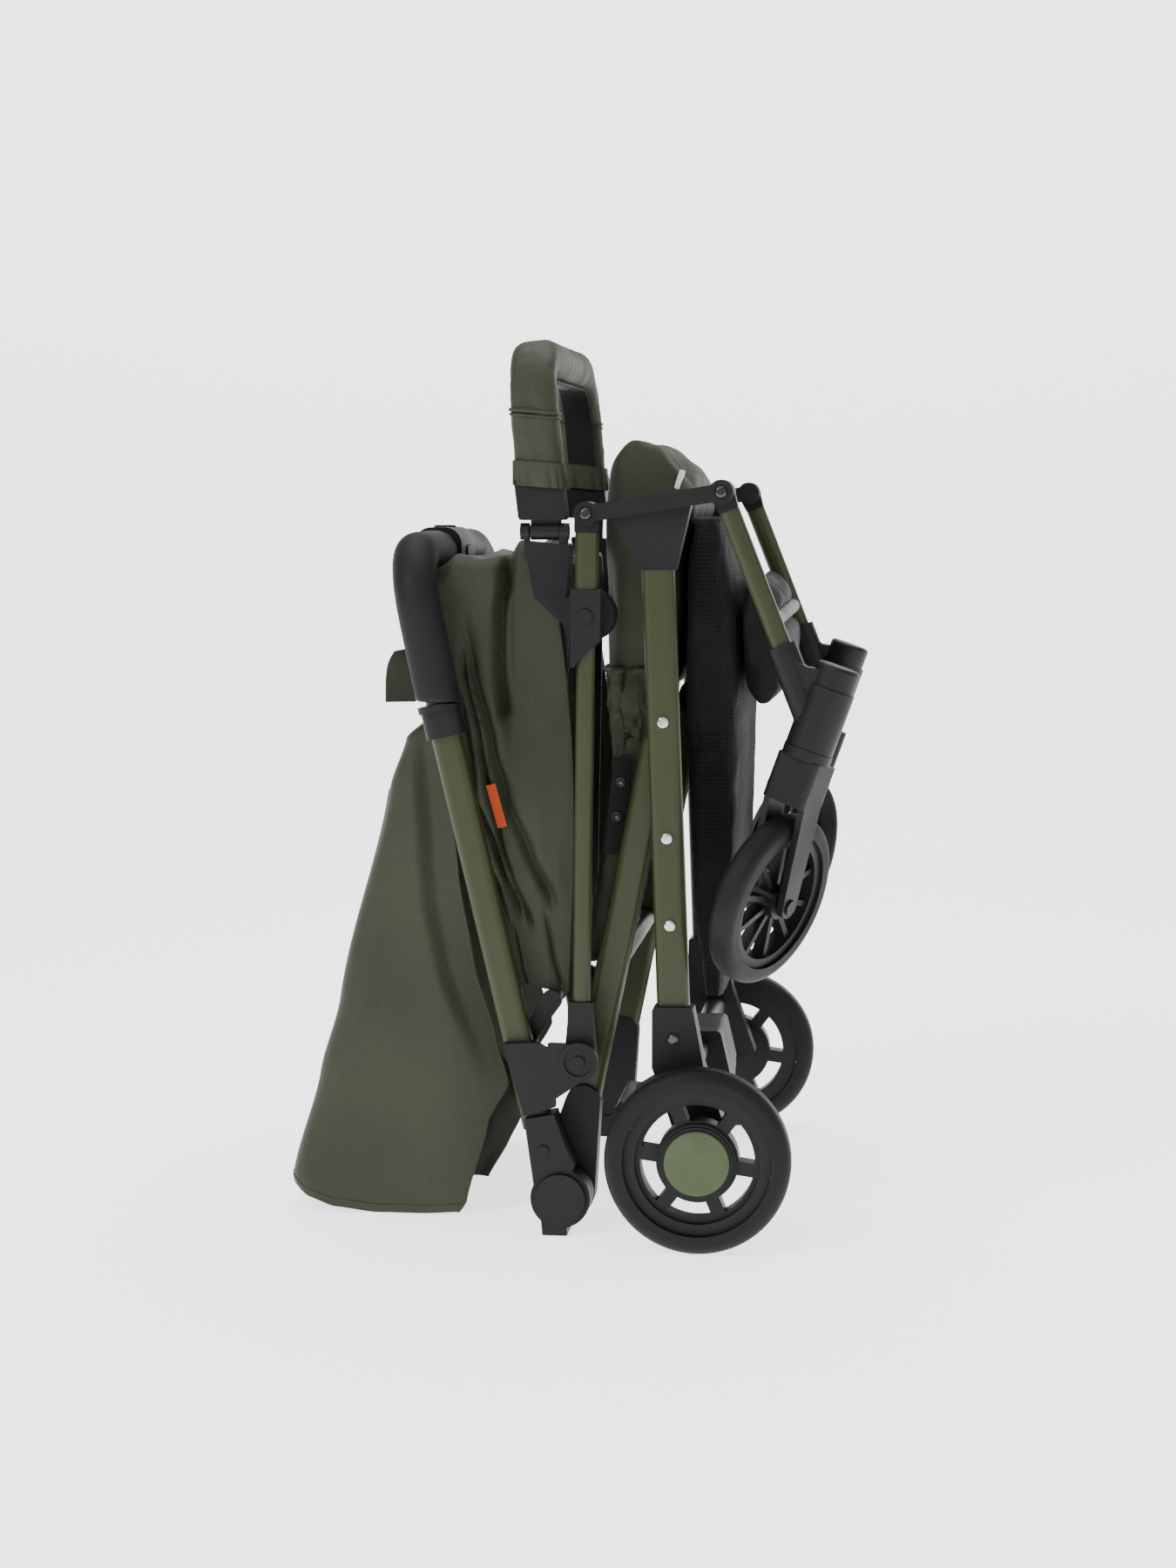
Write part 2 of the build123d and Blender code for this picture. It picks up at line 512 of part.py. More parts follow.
def make_hood():
    wide, narrow = 158.0, 133.5
    right = [(-146, 196), (-112, 192), (-104, 214), (-102.5, 452)]
    shoulder = [(-102.5, 452), (-104, 476), (-110, 520), (-122, 532), (-147, 529)]
    low_block = plate(right + [(-147, 452)], -wide, wide)
    top_block = plate([(-147, 451.9)] + shoulder, -narrow, narrow)
    back = plate([(-147.1, 228), (-172, 330), (-186, 400), (-196, 450), (-206, 500), (-204, 520), (-176, 530), (-146.9, 529),
                  (-146.9, 228)], -150, 150)
    inside = plate([(-150, 100), (-150, 300), (-178, 438), (-230, 438), (-230, 100)], -PAD_OUT - 8, PAD_OUT + 8)
    hollow = plate([(-260, 100), (-260, 438), (-200, 504), (-90, 504), (-90, 100)], -117, 117)
    hood = low_block + top_block + (back - inside) - hollow
    for bow in make_bows():
        hood -= bow
    add("hood_fabric", hood)


BOW_W, BOW_T = 7.0, 3.0
BOW_TOP = 516.0
HOOD_BOWS = {"hood_front_bow": (-112.0, 122.5), "hood_mid_bow": (-132.0, 127.5)}


def bow_solid(top_x, out, grow):
    """A flat hoop from its two pivots up and over; grow makes the room that it needs."""
    top = (top_x, BOW_TOP)
    path = FilletPolyline(point(HOOD_PIVOT, out), point(top, out), point(top, -out), point(HOOD_PIVOT, -out), radius=30)
    start = Plane(origin=path @ 0, x_dir=(0, 1, 0), z_dir=path % 0)
    hoop = sweep(start * Rectangle(BOW_T + 2 * grow, BOW_W + 2 * grow), path=path)
    eye = disc(HOOD_PIVOT, 7 + grow, out - BOW_T / 2 - grow, out + BOW_T / 2 + grow)
    return hoop + eye + mirror(eye, about=Plane.XZ)


def make_bows():
    return [bow_solid(top_x, out, GAP) for top_x, out in HOOD_BOWS.values()]


def make_hood_bows():
    for name, (top_x, out) in HOOD_BOWS.items():
        bow = bow_solid(top_x, out, 0) - disc(HOOD_PIVOT, 3 + RUN, -200, 200)
        add(name, bow)


def make_rear_flap():
    outline = [(-216, 392), (-240, 376), (-252, 338), (-294, 169), (-333, 36), (-328, 18), (-300, 8), (-250, 4), (-192, 5),
               (-168, 60), (-152, 112), (-168, 170), (-190, 270)]
    inside = [(-214, 388), (-236, 374), (-248, 338), (-290, 169), (-329, 36), (-324, -20), (-150, -20), (-130, 112),
              (-140, 170), (-160, 270), (-190, 388)]
    add("rear_flap", plate(outline, -140, 140, 3) - plate(inside, -136, 136))


def make_upper_pad():
    low, high, bend = 226.0, 428.0, 306.0
    outline = [(upper_x(low) - 1, low), (-152, low), (-152, bend), (-181, high), (upper_x(high) + 1, high)]
    add("back_pad_upper", plate(outline, -PAD_OUT, PAD_OUT, 2))


# ---- front legs and casters --------------------------------------------------------------------
STEM_R = 6.0
UP = Vector(math.sin(math.radians(SWIVEL_LEAN)), 0, math.cos(math.radians(SWIVEL_LEAN)))
ACROSS = Vector(math.cos(math.radians(SWIVEL_LEAN)), 0, -math.sin(math.radians(SWIVEL_LEAN)))
TRAIL = ACROSS * math.cos(math.radians(CASTER_TURN)) + Vector(0, 1, 0) * math.sin(math.radians(CASTER_TURN))
SWIVEL_FRAME = Plane(origin=point(SWIVEL, FRAME_OUT), x_dir=TRAIL, z_dir=UP)


def make_front_legs():
    length = span(FRONT_PIVOT, FRONT_FOOT)
    start, end = along(FRONT_PIVOT, FRONT_FOOT, 15), along(FRONT_PIVOT, FRONT_FOOT, length + 14)
    add_pair("front_leg", flat_tube(start, end, FRONT_W))
    cap = link(FRONT_PIVOT, along(FRONT_PIVOT, FRONT_FOOT, 12), EYE_R, FRONT_W / 2, IN, OUT)
    cap -= flat_bar(start, end, FRONT_W + 12, TUBE_DEPTH + 4, FRAME_OUT)
    cap -= disc(FRONT_PIVOT, PIN_R + RUN, IN - 1, OUT + 1)
    bar_at = along(FRONT_PIVOT, FRONT_FOOT, 104)
    add_both("front_leg_fittings", [cap], [cross_tube(bar_at, 6.5, IN - 0.01)])
    calf = plate([(31, 522), (44, 500), (58, 462), (56, 412), (42, 397), (31, 404), (29, 440), (27.5, 480)], -124, 124, 4)
    add("calf_rest", calf - disc(bar_at, 6.5 + FIT, -130, 130))


def make_caster_housings():
    length = span(FRONT_PIVOT, FRONT_FOOT)
    start, end = along(FRONT_PIVOT, FRONT_FOOT, 15), along(FRONT_PIVOT, FRONT_FOOT, length + 14)
    sleeve = flat_bar(FRONT_FOOT, along(FRONT_PIVOT, FRONT_FOOT, length + 56), FRONT_W + 7, TUBE_DEPTH + 8, FRAME_OUT)
    web = plate([(64, 446), (77, 437), (96, 434), (108, 416), (98, 384), (72, 384)], IN + 1, OUT + 3, 3)
    base = Plane(origin=point(SWIVEL, FRAME_OUT), x_dir=ACROSS, z_dir=UP)
    barrel = extrude(base * Circle(18.5), amount=48)
    cap = extrude(base.offset(48) * Circle(16.8), amount=18)
    cap = fillet(cap.edges().sort_by(Axis.Z)[-1], 3)
    housing = sleeve + web + barrel + cap
    housing -= extrude(base.offset(-200) * Rectangle(200, 200), amount=200)
    housing -= room_for(start, end, FRONT_W)
    housing -= extrude(base.offset(-1) * Circle(STEM_R + RUN), amount=33)
    add_pair("caster_housing", housing)


def caster(shape):
    return SWIVEL_FRAME.location * shape


def make_casters():
    """Drawn upright: X is the way the wheel trails, Z the swivel axis, and the origin the top of the fork."""
    half_hub = FRONT_WHEEL_W / 2 + 2
    arm_t = 5.5
    stem = Pos(0, 0, 15) * Cylinder(STEM_R, 32)
    crown = Pos(0, 0, -0.4 - 4) * Cylinder(19, 8)
    block = Pos(3, 0, -26) * Box(34, 2 * (half_hub + arm_t), 36)
    block = fillet(block.edges().filter_by(Axis.Z), 6)
    wheel_room = Pos(CASTER_TRAIL, 0, -CASTER_DROP) * Rot(90, 0, 0) * Cylinder(FRONT_WHEEL_R + 3, 2 * half_hub)
    side_view = Plane(origin=(0, -half_hub, 0), x_dir=(1, 0, 0), z_dir=(0, -1, 0))
    ends = (Pos(2, -34) * Circle(12)).edges() + (Pos(CASTER_TRAIL, -CASTER_DROP) * Circle(9.5)).edges()
    arm = extrude(side_view * make_hull(ends), amount=arm_t)
    axle = Pos(CASTER_TRAIL, 0, -CASTER_DROP) * Rot(90, 0, 0) * Cylinder(FRONT_AXLE_R, 2 * half_hub + 1)
    nut = Pos(CASTER_TRAIL, 0, -CASTER_DROP) * Rot(90, 0, 0) * Cylinder(6, 2 * (half_hub + arm_t + 2))
    nut -= Pos(CASTER_TRAIL, 0, -CASTER_DROP) * Rot(90, 0, 0) * Cylinder(7, 2 * half_hub + 1)
    fork = stem + crown + (block - wheel_room) + arm + mirror(arm, about=Plane.XZ) + axle + nut
    add_pair("caster_fork", caster(fork))

    centre = Pos(CASTER_TRAIL, 0, -CASTER_DROP) * Rot(90, 0, 0)
    tyre = Cylinder(FRONT_WHEEL_R, FRONT_WHEEL_W)
    tyre = fillet(tyre.edges().filter_by(GeomType.CIRCLE), 8)
    tyre -= Cylinder(FRONT_RIM_R + FIT, FRONT_WHEEL_W * 2)
    rim = Cylinder(FRONT_RIM_R, FRONT_WHEEL_W - 6) - Cylinder(FRONT_RIM_R - 7, FRONT_WHEEL_W)
    rim += Cylinder(FRONT_HUB_R, FRONT_WHEEL_W)
    for k in range(FRONT_SPOKES):
        spoke = Pos((FRONT_HUB_R + FRONT_RIM_R - 4) / 2, 0, 0) * Box(FRONT_RIM_R - FRONT_HUB_R - 1, FRONT_SPOKE_W, 10)
        rim += Rot(0, 0, k * 360 / FRONT_SPOKES) * spoke
    rim -= Cylinder(FRONT_AXLE_R + RUN, FRONT_WHEEL_W * 2)
    add_pair("front_tyre", caster(centre * tyre))
    add_pair("front_rim", caster(centre * rim))


def build():
    make_rear_axle()
    make_rear_wheel()
    make_rear_legs()
    make_hubs()
    make_wheel_brackets()
    make_rear_crossbar()
    make_brake()
    make_frame_fasteners()
    make_seat_pad()
    make_basket()
    make_side_rails()
    make_bumper()
    make_lower_frame()
    make_lower_pad()
    make_upper_frame()
    make_handle()
    make_hood()
    make_hood_bows()
    make_rear_flap()
    make_upper_pad()
    make_front_legs()
    make_caster_housings()
    make_casters()


build()
os.makedirs("parts", exist_ok=True)
for node, shape in nodes.items():
    export_step(shape, f"parts/{node}.step")
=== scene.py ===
"""Looks of a folded compact stroller: finishes for its frame, and its fabric, foam and small trim."""

import json
import math
from dataclasses import dataclass, field
from enum import Enum
from typing import Callable

import bpy
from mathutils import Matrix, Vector, noise

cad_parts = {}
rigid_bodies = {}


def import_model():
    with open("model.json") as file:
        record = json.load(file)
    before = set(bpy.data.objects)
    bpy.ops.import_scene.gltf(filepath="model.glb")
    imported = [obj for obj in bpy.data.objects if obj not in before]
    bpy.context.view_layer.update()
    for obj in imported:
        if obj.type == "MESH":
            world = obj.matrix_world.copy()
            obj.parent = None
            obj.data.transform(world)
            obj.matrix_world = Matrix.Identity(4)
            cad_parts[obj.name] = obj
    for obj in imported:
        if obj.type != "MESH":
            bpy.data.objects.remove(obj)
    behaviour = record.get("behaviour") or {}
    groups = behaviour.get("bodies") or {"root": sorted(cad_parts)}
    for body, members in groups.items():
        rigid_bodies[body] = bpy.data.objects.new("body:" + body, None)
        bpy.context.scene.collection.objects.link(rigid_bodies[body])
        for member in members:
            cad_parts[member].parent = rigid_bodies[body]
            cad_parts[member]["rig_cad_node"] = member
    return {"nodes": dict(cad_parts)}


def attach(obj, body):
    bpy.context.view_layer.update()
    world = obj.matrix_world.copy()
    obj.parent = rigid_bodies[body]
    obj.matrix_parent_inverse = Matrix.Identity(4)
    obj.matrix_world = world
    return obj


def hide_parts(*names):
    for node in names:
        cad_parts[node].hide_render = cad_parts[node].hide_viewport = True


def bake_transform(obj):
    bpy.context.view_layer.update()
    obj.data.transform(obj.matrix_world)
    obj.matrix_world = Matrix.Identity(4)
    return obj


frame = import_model()

AXLE_X = 0.1085
Point = tuple[float, float]
Place = Callable[[float, float], Vector]


class Slot(Enum):
    """Material slots of the part."""

    STEEL = "steel"
    TYRE = "tyre"
    BLACK_PLASTIC = "black_plastic"
    GREEN_PLASTIC = "green_plastic"
    GREEN_PAINT = "green_paint"
    BLACK_PAINT = "black_paint"
    ZINC = "zinc"
    BLACK_BOLT = "black_bolt"
    GREEN_FABRIC = "green_fabric"
    BLACK_MESH = "black_mesh"
    BLACK_FABRIC = "black_fabric"
    FOAM = "foam"


# ---- small helpers -----------------------------------------------------------------------------
def at(forward: float, out: float, up: float) -> Vector:
    """Point from millimetres in front of the rear axle, out to +Y and above the ground."""
    return Vector((AXLE_X + forward / 1000, out / 1000, up / 1000))


def linear(red: int, green: int, blue: int) -> tuple[float, float, float, float]:
    """Linear RGBA of an 8-bit display colour."""
    def one(value: int) -> float:
        """Linear value of one channel."""
        share = value / 255
        return share / 12.92 if share <= 0.04045 else ((share + 0.055) / 1.055) ** 2.4

    return (one(red), one(green), one(blue), 1.0)


def mix(low: float, high: float, share: float) -> float:
    """Value between low and high."""
    return low + (high - low) * share


def ease(low: float, high: float, value: float) -> float:
    """Smooth step from 0 at low to 1 at high."""
    share = min(1.0, max(0.0, (value - low) / (high - low)))
    return share * share * (3 - 2 * share)


def line_at(points: list[Point], value: float) -> float:
    """Second coordinate of a polyline at a value of its first one.

    Args:
        points: Corners in rising order of the first coordinate.
        value: Where to read the line.

    Returns:
        The line's height there, held level beyond its ends.
    """
    if value <= points[0][0]:
        return points[0][1]
    for (x0, y0), (x1, y1) in zip(points, points[1:]):
        if value <= x1:
            return mix(y0, y1, ease(x0, x1, value) * 0.4 + 0.6 * (value - x0) / (x1 - x0))
    return points[-1][1]


def only(piece: bpy.types.Object) -> bpy.types.Object:
    """Makes piece the one selected and active object."""
    bpy.ops.object.select_all(action="DESELECT")
    piece.select_set(True)
    bpy.context.view_layer.objects.active = piece
    return piece


def named(name: str) -> bpy.types.Object:
    """Names the object that was just added."""
    piece = bpy.context.object
    piece.name = piece.data.name = name
    return piece


def settle(piece: bpy.types.Object, angle: float = 40.0) -> bpy.types.Object:
    """Applies every modifier and transform of a piece and shades it smooth.

    Args:
        piece: A mesh in its final place.
        angle: Largest angle in degrees that is still shaded smooth.

    Returns:
        The same piece, at the origin, unturned and unscaled.
    """
    only(piece)
    for modifier in list(piece.modifiers):
        bpy.ops.object.modifier_apply(modifier=modifier.name)
    bpy.ops.object.transform_apply(location=True, rotation=True, scale=True)
    bpy.ops.object.shade_smooth_by_angle(angle=math.radians(angle))
    return piece


def outward(piece: bpy.types.Object) -> None:
    """Merges doubles and turns every face outwards."""
    only(piece)
    bpy.ops.object.mode_set(mode="EDIT")
    bpy.ops.mesh.select_all(action="SELECT")
    bpy.ops.mesh.remove_doubles(threshold=0.00002)
    bpy.ops.mesh.normals_make_consistent(inside=False)
    bpy.ops.object.mode_set(mode="OBJECT")


def modifier(piece: bpy.types.Object, kind: str, **values: object) -> bpy.types.Modifier:
    """Adds a modifier with these values."""
    made = piece.modifiers.new(kind.title(), kind)
    for key, value in values.items():
        setattr(made, key, value)
    return made


def cloth_sheet(name: str, columns: int, rows: int, place: Place, thickness: float) -> bpy.types.Object:
    """A sheet shaped from a flat grid.

    Args:
        name: Name of the piece.
        columns: Grid steps along the first direction.
        rows: Grid steps along the second direction.
        place: Where a point of the sheet goes, from its two shares of the sheet, each 0 to 1.
        thickness: Thickness of the cloth in metres.

    Returns:
        The closed, thin piece.
    """
    bpy.ops.object.select_all(action="DESELECT")
    bpy.ops.mesh.primitive_grid_add(x_subdivisions=columns, y_subdivisions=rows, size=1)
    piece = named(name)
    for vertex in piece.data.vertices:
        vertex.co = place(vertex.co.x + 0.5, vertex.co.y + 0.5)
    modifier(piece, "SOLIDIFY", thickness=thickness, offset=0, use_even_offset=False)
    settle(piece, 60)
    return piece


def tube(name: str, points: list[Vector], radius: float, closed: bool = False) -> bpy.types.Object:
    """A round cord, piping or bead along points.

    Args:
        name: Name of the piece.
        points: Centre line.
        radius: Radius in metres.
        closed: Whether the last point joins the first.

    Returns:
        The closed mesh.
    """
    bpy.ops.object.select_all(action="DESELECT")
    bpy.ops.curve.primitive_bezier_curve_add()
    piece = bpy.context.object
    curve = piece.data
    curve.splines.clear()
    spline = curve.splines.new("POLY")
    spline.points.add(len(points) - 1)
    for control, point in zip(spline.points, points):
        control.co = (*point, 1.0)
    spline.use_cyclic_u = closed
    curve.dimensions = "3D"
    curve.bevel_depth, curve.bevel_resolution, curve.use_fill_caps = radius, 3, True
    only(piece)
    bpy.ops.object.convert(target="MESH")
    piece = named(name)
    outward(piece)
    return settle(piece, 60)


def slab(name: str, centre: Vector, size: Vector, turn: float, edge: float, steps: int = 2) -> bpy.types.Object:
    """A plate with an inset face and rounded edges, turned about the axis across the stroller.

    Args:
        name: Name of the piece.
        centre: Middle of the plate.
        size: Its full sizes before it is turned.
        turn: Turn about Y in degrees.
        edge: Radius of the rounded edges.
        steps: Segments of the rounding.

    Returns:
        The finished mesh.
    """
    bpy.ops.object.select_all(action="DESELECT")
    bpy.ops.mesh.primitive_cube_add(size=1, location=centre, rotation=(0, math.radians(turn), 0))
    piece = named(name)
    piece.scale = size
    bpy.ops.object.transform_apply(location=False, rotation=False, scale=True)
    modifier(piece, "BEVEL", width=edge, segments=steps, limit_method="NONE")
    return settle(piece)


def button(name: str, centre: Vector, radius: float, height: float, side: int, vertices: int = 40) -> bpy.types.Object:
    """A domed disc on a side of the stroller, with a sunken ring near its rim.

    Args:
        name: Name of the piece.
        centre: Middle of its back face.
        radius: Radius in metres.
        height: Height of the disc in metres.
        side: -1 on the right of the stroller, 1 on its left.
        vertices: Corners of the rim.

    Returns:
        The finished mesh.
    """
    bpy.ops.object.select_all(action="DESELECT")
    bpy.ops.mesh.primitive_cylinder_add(vertices=vertices, radius=radius, depth=height,
                                        location=centre + Vector((0, side * height / 2, 0)),
                                        rotation=(math.radians(90) * -side, 0, 0))
    piece = named(name)
    bpy.ops.object.mode_set(mode="EDIT")
    bpy.ops.mesh.select_all(action="DESELECT")
    bpy.ops.object.mode_set(mode="OBJECT")
    for face in piece.data.polygons:
        face.select = len(face.vertices) > 4 and face.normal.z > 0.5
    bpy.ops.object.mode_set(mode="EDIT")
    bpy.ops.mesh.inset(thickness=radius * 0.22, depth=0)
    bpy.ops.mesh.inset(thickness=radius * 0.1, depth=-height * 0.35)
    bpy.ops.mesh.inset(thickness=radius * 0.12, depth=height * 0.45)
    bpy.ops.object.mode_set(mode="OBJECT")
    modifier(piece, "BEVEL", width=min(height, radius) * 0.18, segments=2, limit_method="ANGLE")
    return settle(piece)


# ---- finishes ----------------------------------------------------------------------------------
class Net:
    """Node tree of one material under construction."""

    def __init__(self, name: str) -> None:
        """Starts a material with its shader and the object's own coordinates."""
        self.material = bpy.data.materials.new(name)
        self.material.use_nodes = True
        self.nodes = self.material.node_tree.nodes
        self.shader = next(node for node in self.nodes if node.type == "BSDF_PRINCIPLED")
        self.place = self.nodes.new("ShaderNodeTexCoord").outputs["Object"]

    def join(self, source: bpy.types.NodeSocket, target: bpy.types.NodeSocket) -> None:
        """Links two sockets."""
        self.material.node_tree.links.new(source, target)

    def noise(self, scale: float, detail: float = 4.0, rough: float = 0.5, stretch: Vector | None = None) -> bpy.types.NodeSocket:
        """Noise value, on stretched coordinates if stretch is given."""
        node = self.nodes.new("ShaderNodeTexNoise")
        node.inputs["Scale"].default_value = scale
        node.inputs["Detail"].default_value = detail
        node.inputs["Roughness"].default_value = rough
        place = self.place
        if stretch is not None:
            mapping = self.nodes.new("ShaderNodeMapping")
            mapping.inputs["Scale"].default_value = stretch
            self.join(self.place, mapping.inputs["Vector"])
            place = mapping.outputs["Vector"]
        self.join(place, node.inputs["Vector"])
        return node.outputs["Fac"]

    def bands(self, pitch: float, direction: str, turn: float = 0.0, wobble: float = 0.0) -> bpy.types.NodeSocket:
        """Parallel threads or grooves of this pitch in metres."""
        node = self.nodes.new("ShaderNodeTexWave")
        node.wave_type, node.bands_direction = "BANDS", direction
        node.inputs["Scale"].default_value = 0.31416 / pitch
        node.inputs["Distortion"].default_value = wobble
        mapping = self.nodes.new("ShaderNodeMapping")
        mapping.inputs["Rotation"].default_value = (0, math.radians(turn), 0)
        self.join(self.place, mapping.inputs["Vector"])
        self.join(mapping.outputs["Vector"], node.inputs["Vector"])
        return node.outputs["Fac"]

    def math(self, kind: str, one: bpy.types.NodeSocket, two: bpy.types.NodeSocket | float) -> bpy.types.NodeSocket:
        """Result of a math node."""
        node = self.nodes.new("ShaderNodeMath")
        node.operation = kind
        self.join(one, node.inputs[0])
        if isinstance(two, float):
            node.inputs[1].default_value = two
        else:
            self.join(two, node.inputs[1])
        return node.outputs[0]

    def ramp(self, value: bpy.types.NodeSocket, stops: list[tuple[float, tuple]]) -> bpy.types.NodeSocket:
        """Colour of a value through a ramp of stops."""
        node = self.nodes.new("ShaderNodeValToRGB")
        ends = node.color_ramp.elements
        ends[0].position, ends[0].color = stops[0]
        ends[1].position, ends[1].color = stops[-1]
        for position, colour in stops[1:-1]:
            ends.new(position).color = colour
        self.join(value, node.inputs["Fac"])
        return node.outputs["Color"]

    def scaled(self, value: bpy.types.NodeSocket, low: float, high: float, base: Point = (0.0, 1.0)) -> bpy.types.NodeSocket:
        """Value mapped from base to the range low to high."""
        node = self.nodes.new("ShaderNodeMapRange")
        node.inputs["From Min"].default_value, node.inputs["From Max"].default_value = base
        node.inputs["To Min"].default_value, node.inputs["To Max"].default_value = low, high
        self.join(value, node.inputs["Value"])
        return node.outputs["Result"]

    def bump(self, height: bpy.types.NodeSocket, strength: float, distance: float, under: bpy.types.NodeSocket | None = None) -> bpy.types.NodeSocket:
        """Normal roughened by a height, on top of another normal if one is given."""
        node = self.nodes.new("ShaderNodeBump")
        node.inputs["Strength"].default_value = strength
        node.inputs["Distance"].default_value = distance
        self.join(height, node.inputs["Height"])
        if under is not None:
            self.join(under, node.inputs["Normal"])
        return node.outputs["Normal"]

    def finish(self, **values: object) -> bpy.types.Material:
        """Sets sockets of the shader, from a value or from a node, and returns the material."""
        for key, value in values.items():
            socket = self.shader.inputs[key.replace("_", " ")]
            if isinstance(value, bpy.types.NodeSocket):
                self.join(value, socket)
            else:
                socket.default_value = value
        return self.material


@dataclass(frozen=True)
class WovenFabric:
    """Coated plain weave with a soft sheen."""

    name: str
    dark: tuple[int, int, int]
    light: tuple[int, int, int]
    thread: float = 0.0009
    roughness: float = 0.62
    sheen: float = 0.06
    crease: float = 0.25

    def material(self) -> bpy.types.Material:
        """Builds the material."""
        net = Net(self.name)
        tone = net.math("ADD", net.math("MULTIPLY", net.noise(7.0, 3.0), 0.75), net.math("MULTIPLY", net.noise(900.0, 1.0), 0.25))
        colour = net.ramp(tone, [(0.32, linear(*self.dark)), (0.68, linear(*self.light))])
        weft = net.bands(self.thread, "Z", wobble=0.4)
        warp = net.math("MAXIMUM", net.bands(self.thread, "X", wobble=0.4), net.bands(self.thread, "Y", wobble=0.4))
        weave = net.bump(net.math("MULTIPLY", weft, warp), 0.35, 0.00015)
        creases = net.bump(net.noise(38.0, 4.0, 0.55, Vector((1.0, 1.0, 0.35))), self.crease, 0.004, weave)
        return net.finish(Base_Color=colour, Roughness=net.scaled(net.noise(14.0), self.roughness - 0.07, self.roughness + 0.08, (0.3, 0.7)),
                          Normal=creases, Specular_IOR_Level=0.2, Sheen_Weight=self.sheen, Sheen_Roughness=0.4, Sheen_Tint=linear(*self.light))


@dataclass(frozen=True)
class NetFabric:
    """Open knitted net over a dark lining."""

    name: str
    dark: tuple[int, int, int] = (7, 7, 8)
    light: tuple[int, int, int] = (26, 26, 28)
    pitch: float = 0.0032

    def material(self) -> bpy.types.Material:
        """Builds the material."""
        net = Net(self.name)
        cells = net.nodes.new("ShaderNodeTexVoronoi")
        cells.inputs["Scale"].default_value = 1 / self.pitch
        cells.inputs["Randomness"].default_value = 0.15
        net.join(net.place, cells.inputs["Vector"])
        hole = cells.outputs["Distance"]
        colour = net.ramp(hole, [(0.12, linear(*self.dark)), (0.42, linear(*self.light))])
        relief = net.bump(hole, 0.8, 0.0007)
        drape = net.bump(net.noise(26.0, 3.0), 0.3, 0.006, relief)
        return net.finish(Base_Color=colour, Roughness=net.scaled(net.noise(30.0), 0.7, 0.85), Normal=drape, Specular_IOR_Level=0.12)


@dataclass(frozen=True)
class MouldedPlastic:
    """Fine-textured moulded nylon, a little lighter and rougher in random patches."""

    name: str
    colour: tuple[int, int, int] = (14, 14, 16)
    grain: float = 1500.0
    roughness: float = 0.5

    def material(self) -> bpy.types.Material:
        """Builds the material."""
        net = Net(self.name)
        cloud = net.noise(22.0, 4.0)
        red, green, blue = self.colour
        worn = (min(255, int(red * 1.3) + 3), min(255, int(green * 1.3) + 3), min(255, int(blue * 1.3) + 3))
        colour = net.ramp(cloud, [(0.3, linear(*self.colour)), (0.75, linear(*worn))])
        grain = net.bump(net.noise(self.grain, 2.0), 0.22, 0.00012)
        flow = net.bump(net.noise(9.0, 2.0), 0.1, 0.003, grain)
        return net.finish(Base_Color=colour, Roughness=net.scaled(cloud, self.roughness - 0.08, self.roughness + 0.1, (0.25, 0.75)),
                          Normal=flow, Specular_IOR_Level=0.22)


@dataclass(frozen=True)
class PowderCoat:
    """Satin powder coat with a faint orange-peel skin."""

    name: str
    colour: tuple[int, int, int]
    roughness: float = 0.42
    metallic: float = 0.15

    def material(self) -> bpy.types.Material:
        """Builds the material."""
        net = Net(self.name)
        red, green, blue = self.colour
        cloud = net.noise(11.0, 5.0)
        deep = (int(red * 0.93), int(green * 0.93), int(blue * 0.92))
        colour = net.ramp(cloud, [(0.3, linear(*deep)), (0.7, linear(*self.colour))])
        peel = net.bump(net.noise(420.0, 2.0), 0.12, 0.0002)
        return net.finish(Base_Color=colour, Roughness=net.scaled(cloud, self.roughness - 0.05, self.roughness + 0.07, (0.3, 0.7)),
                          Normal=peel, Metallic=self.metallic, Specular_IOR_Level=0.35)


@dataclass(frozen=True)
class PlatedMetal:
    """Plated metal with fine turning lines."""

    name: str
    colour: tuple[int, int, int]
    roughness: float = 0.28

    def material(self) -> bpy.types.Material:
        """Builds the material."""
        net = Net(self.name)
        red, green, blue = self.colour
        haze = net.noise(160.0, 3.0)
        colour = net.ramp(haze, [(0.25, linear(int(red * 0.8), int(green * 0.8), int(blue * 0.8))), (0.7, linear(*self.colour))])
        lines = net.bump(net.noise(500.0, 2.0, 0.5, Vector((1, 1, 6))), 0.15, 0.0001)
        return net.finish(Base_Color=colour, Metallic=1.0, Roughness=net.scaled(haze, self.roughness - 0.08, self.roughness + 0.12), Normal=lines)


@dataclass(frozen=True)
class SoftFoam:
    """Closed-cell foam or moulded tyre rubber with small pores."""

    name: str
    colour: tuple[int, int, int]
    pores: float = 700.0
    depth: float = 0.3
    roughness: float = 0.72

    def material(self) -> bpy.types.Material:
        """Builds the material."""
        net = Net(self.name)
        red, green, blue = self.colour
        cloud = net.noise(18.0, 5.0)
        dusty = (red + 9, green + 9, blue + 9)
        colour = net.ramp(cloud, [(0.3, linear(*self.colour)), (0.75, linear(*dusty))])
        cells = net.nodes.new("ShaderNodeTexVoronoi")
        cells.inputs["Scale"].default_value = self.pores
        net.join(net.place, cells.inputs["Vector"])
        pores = net.bump(cells.outputs["Distance"], self.depth, 0.0002)
        return net.finish(Base_Color=colour, Roughness=net.scaled(cloud, self.roughness - 0.06, self.roughness + 0.1, (0.3, 0.7)),
                          Normal=pores, Specular_IOR_Level=0.2)


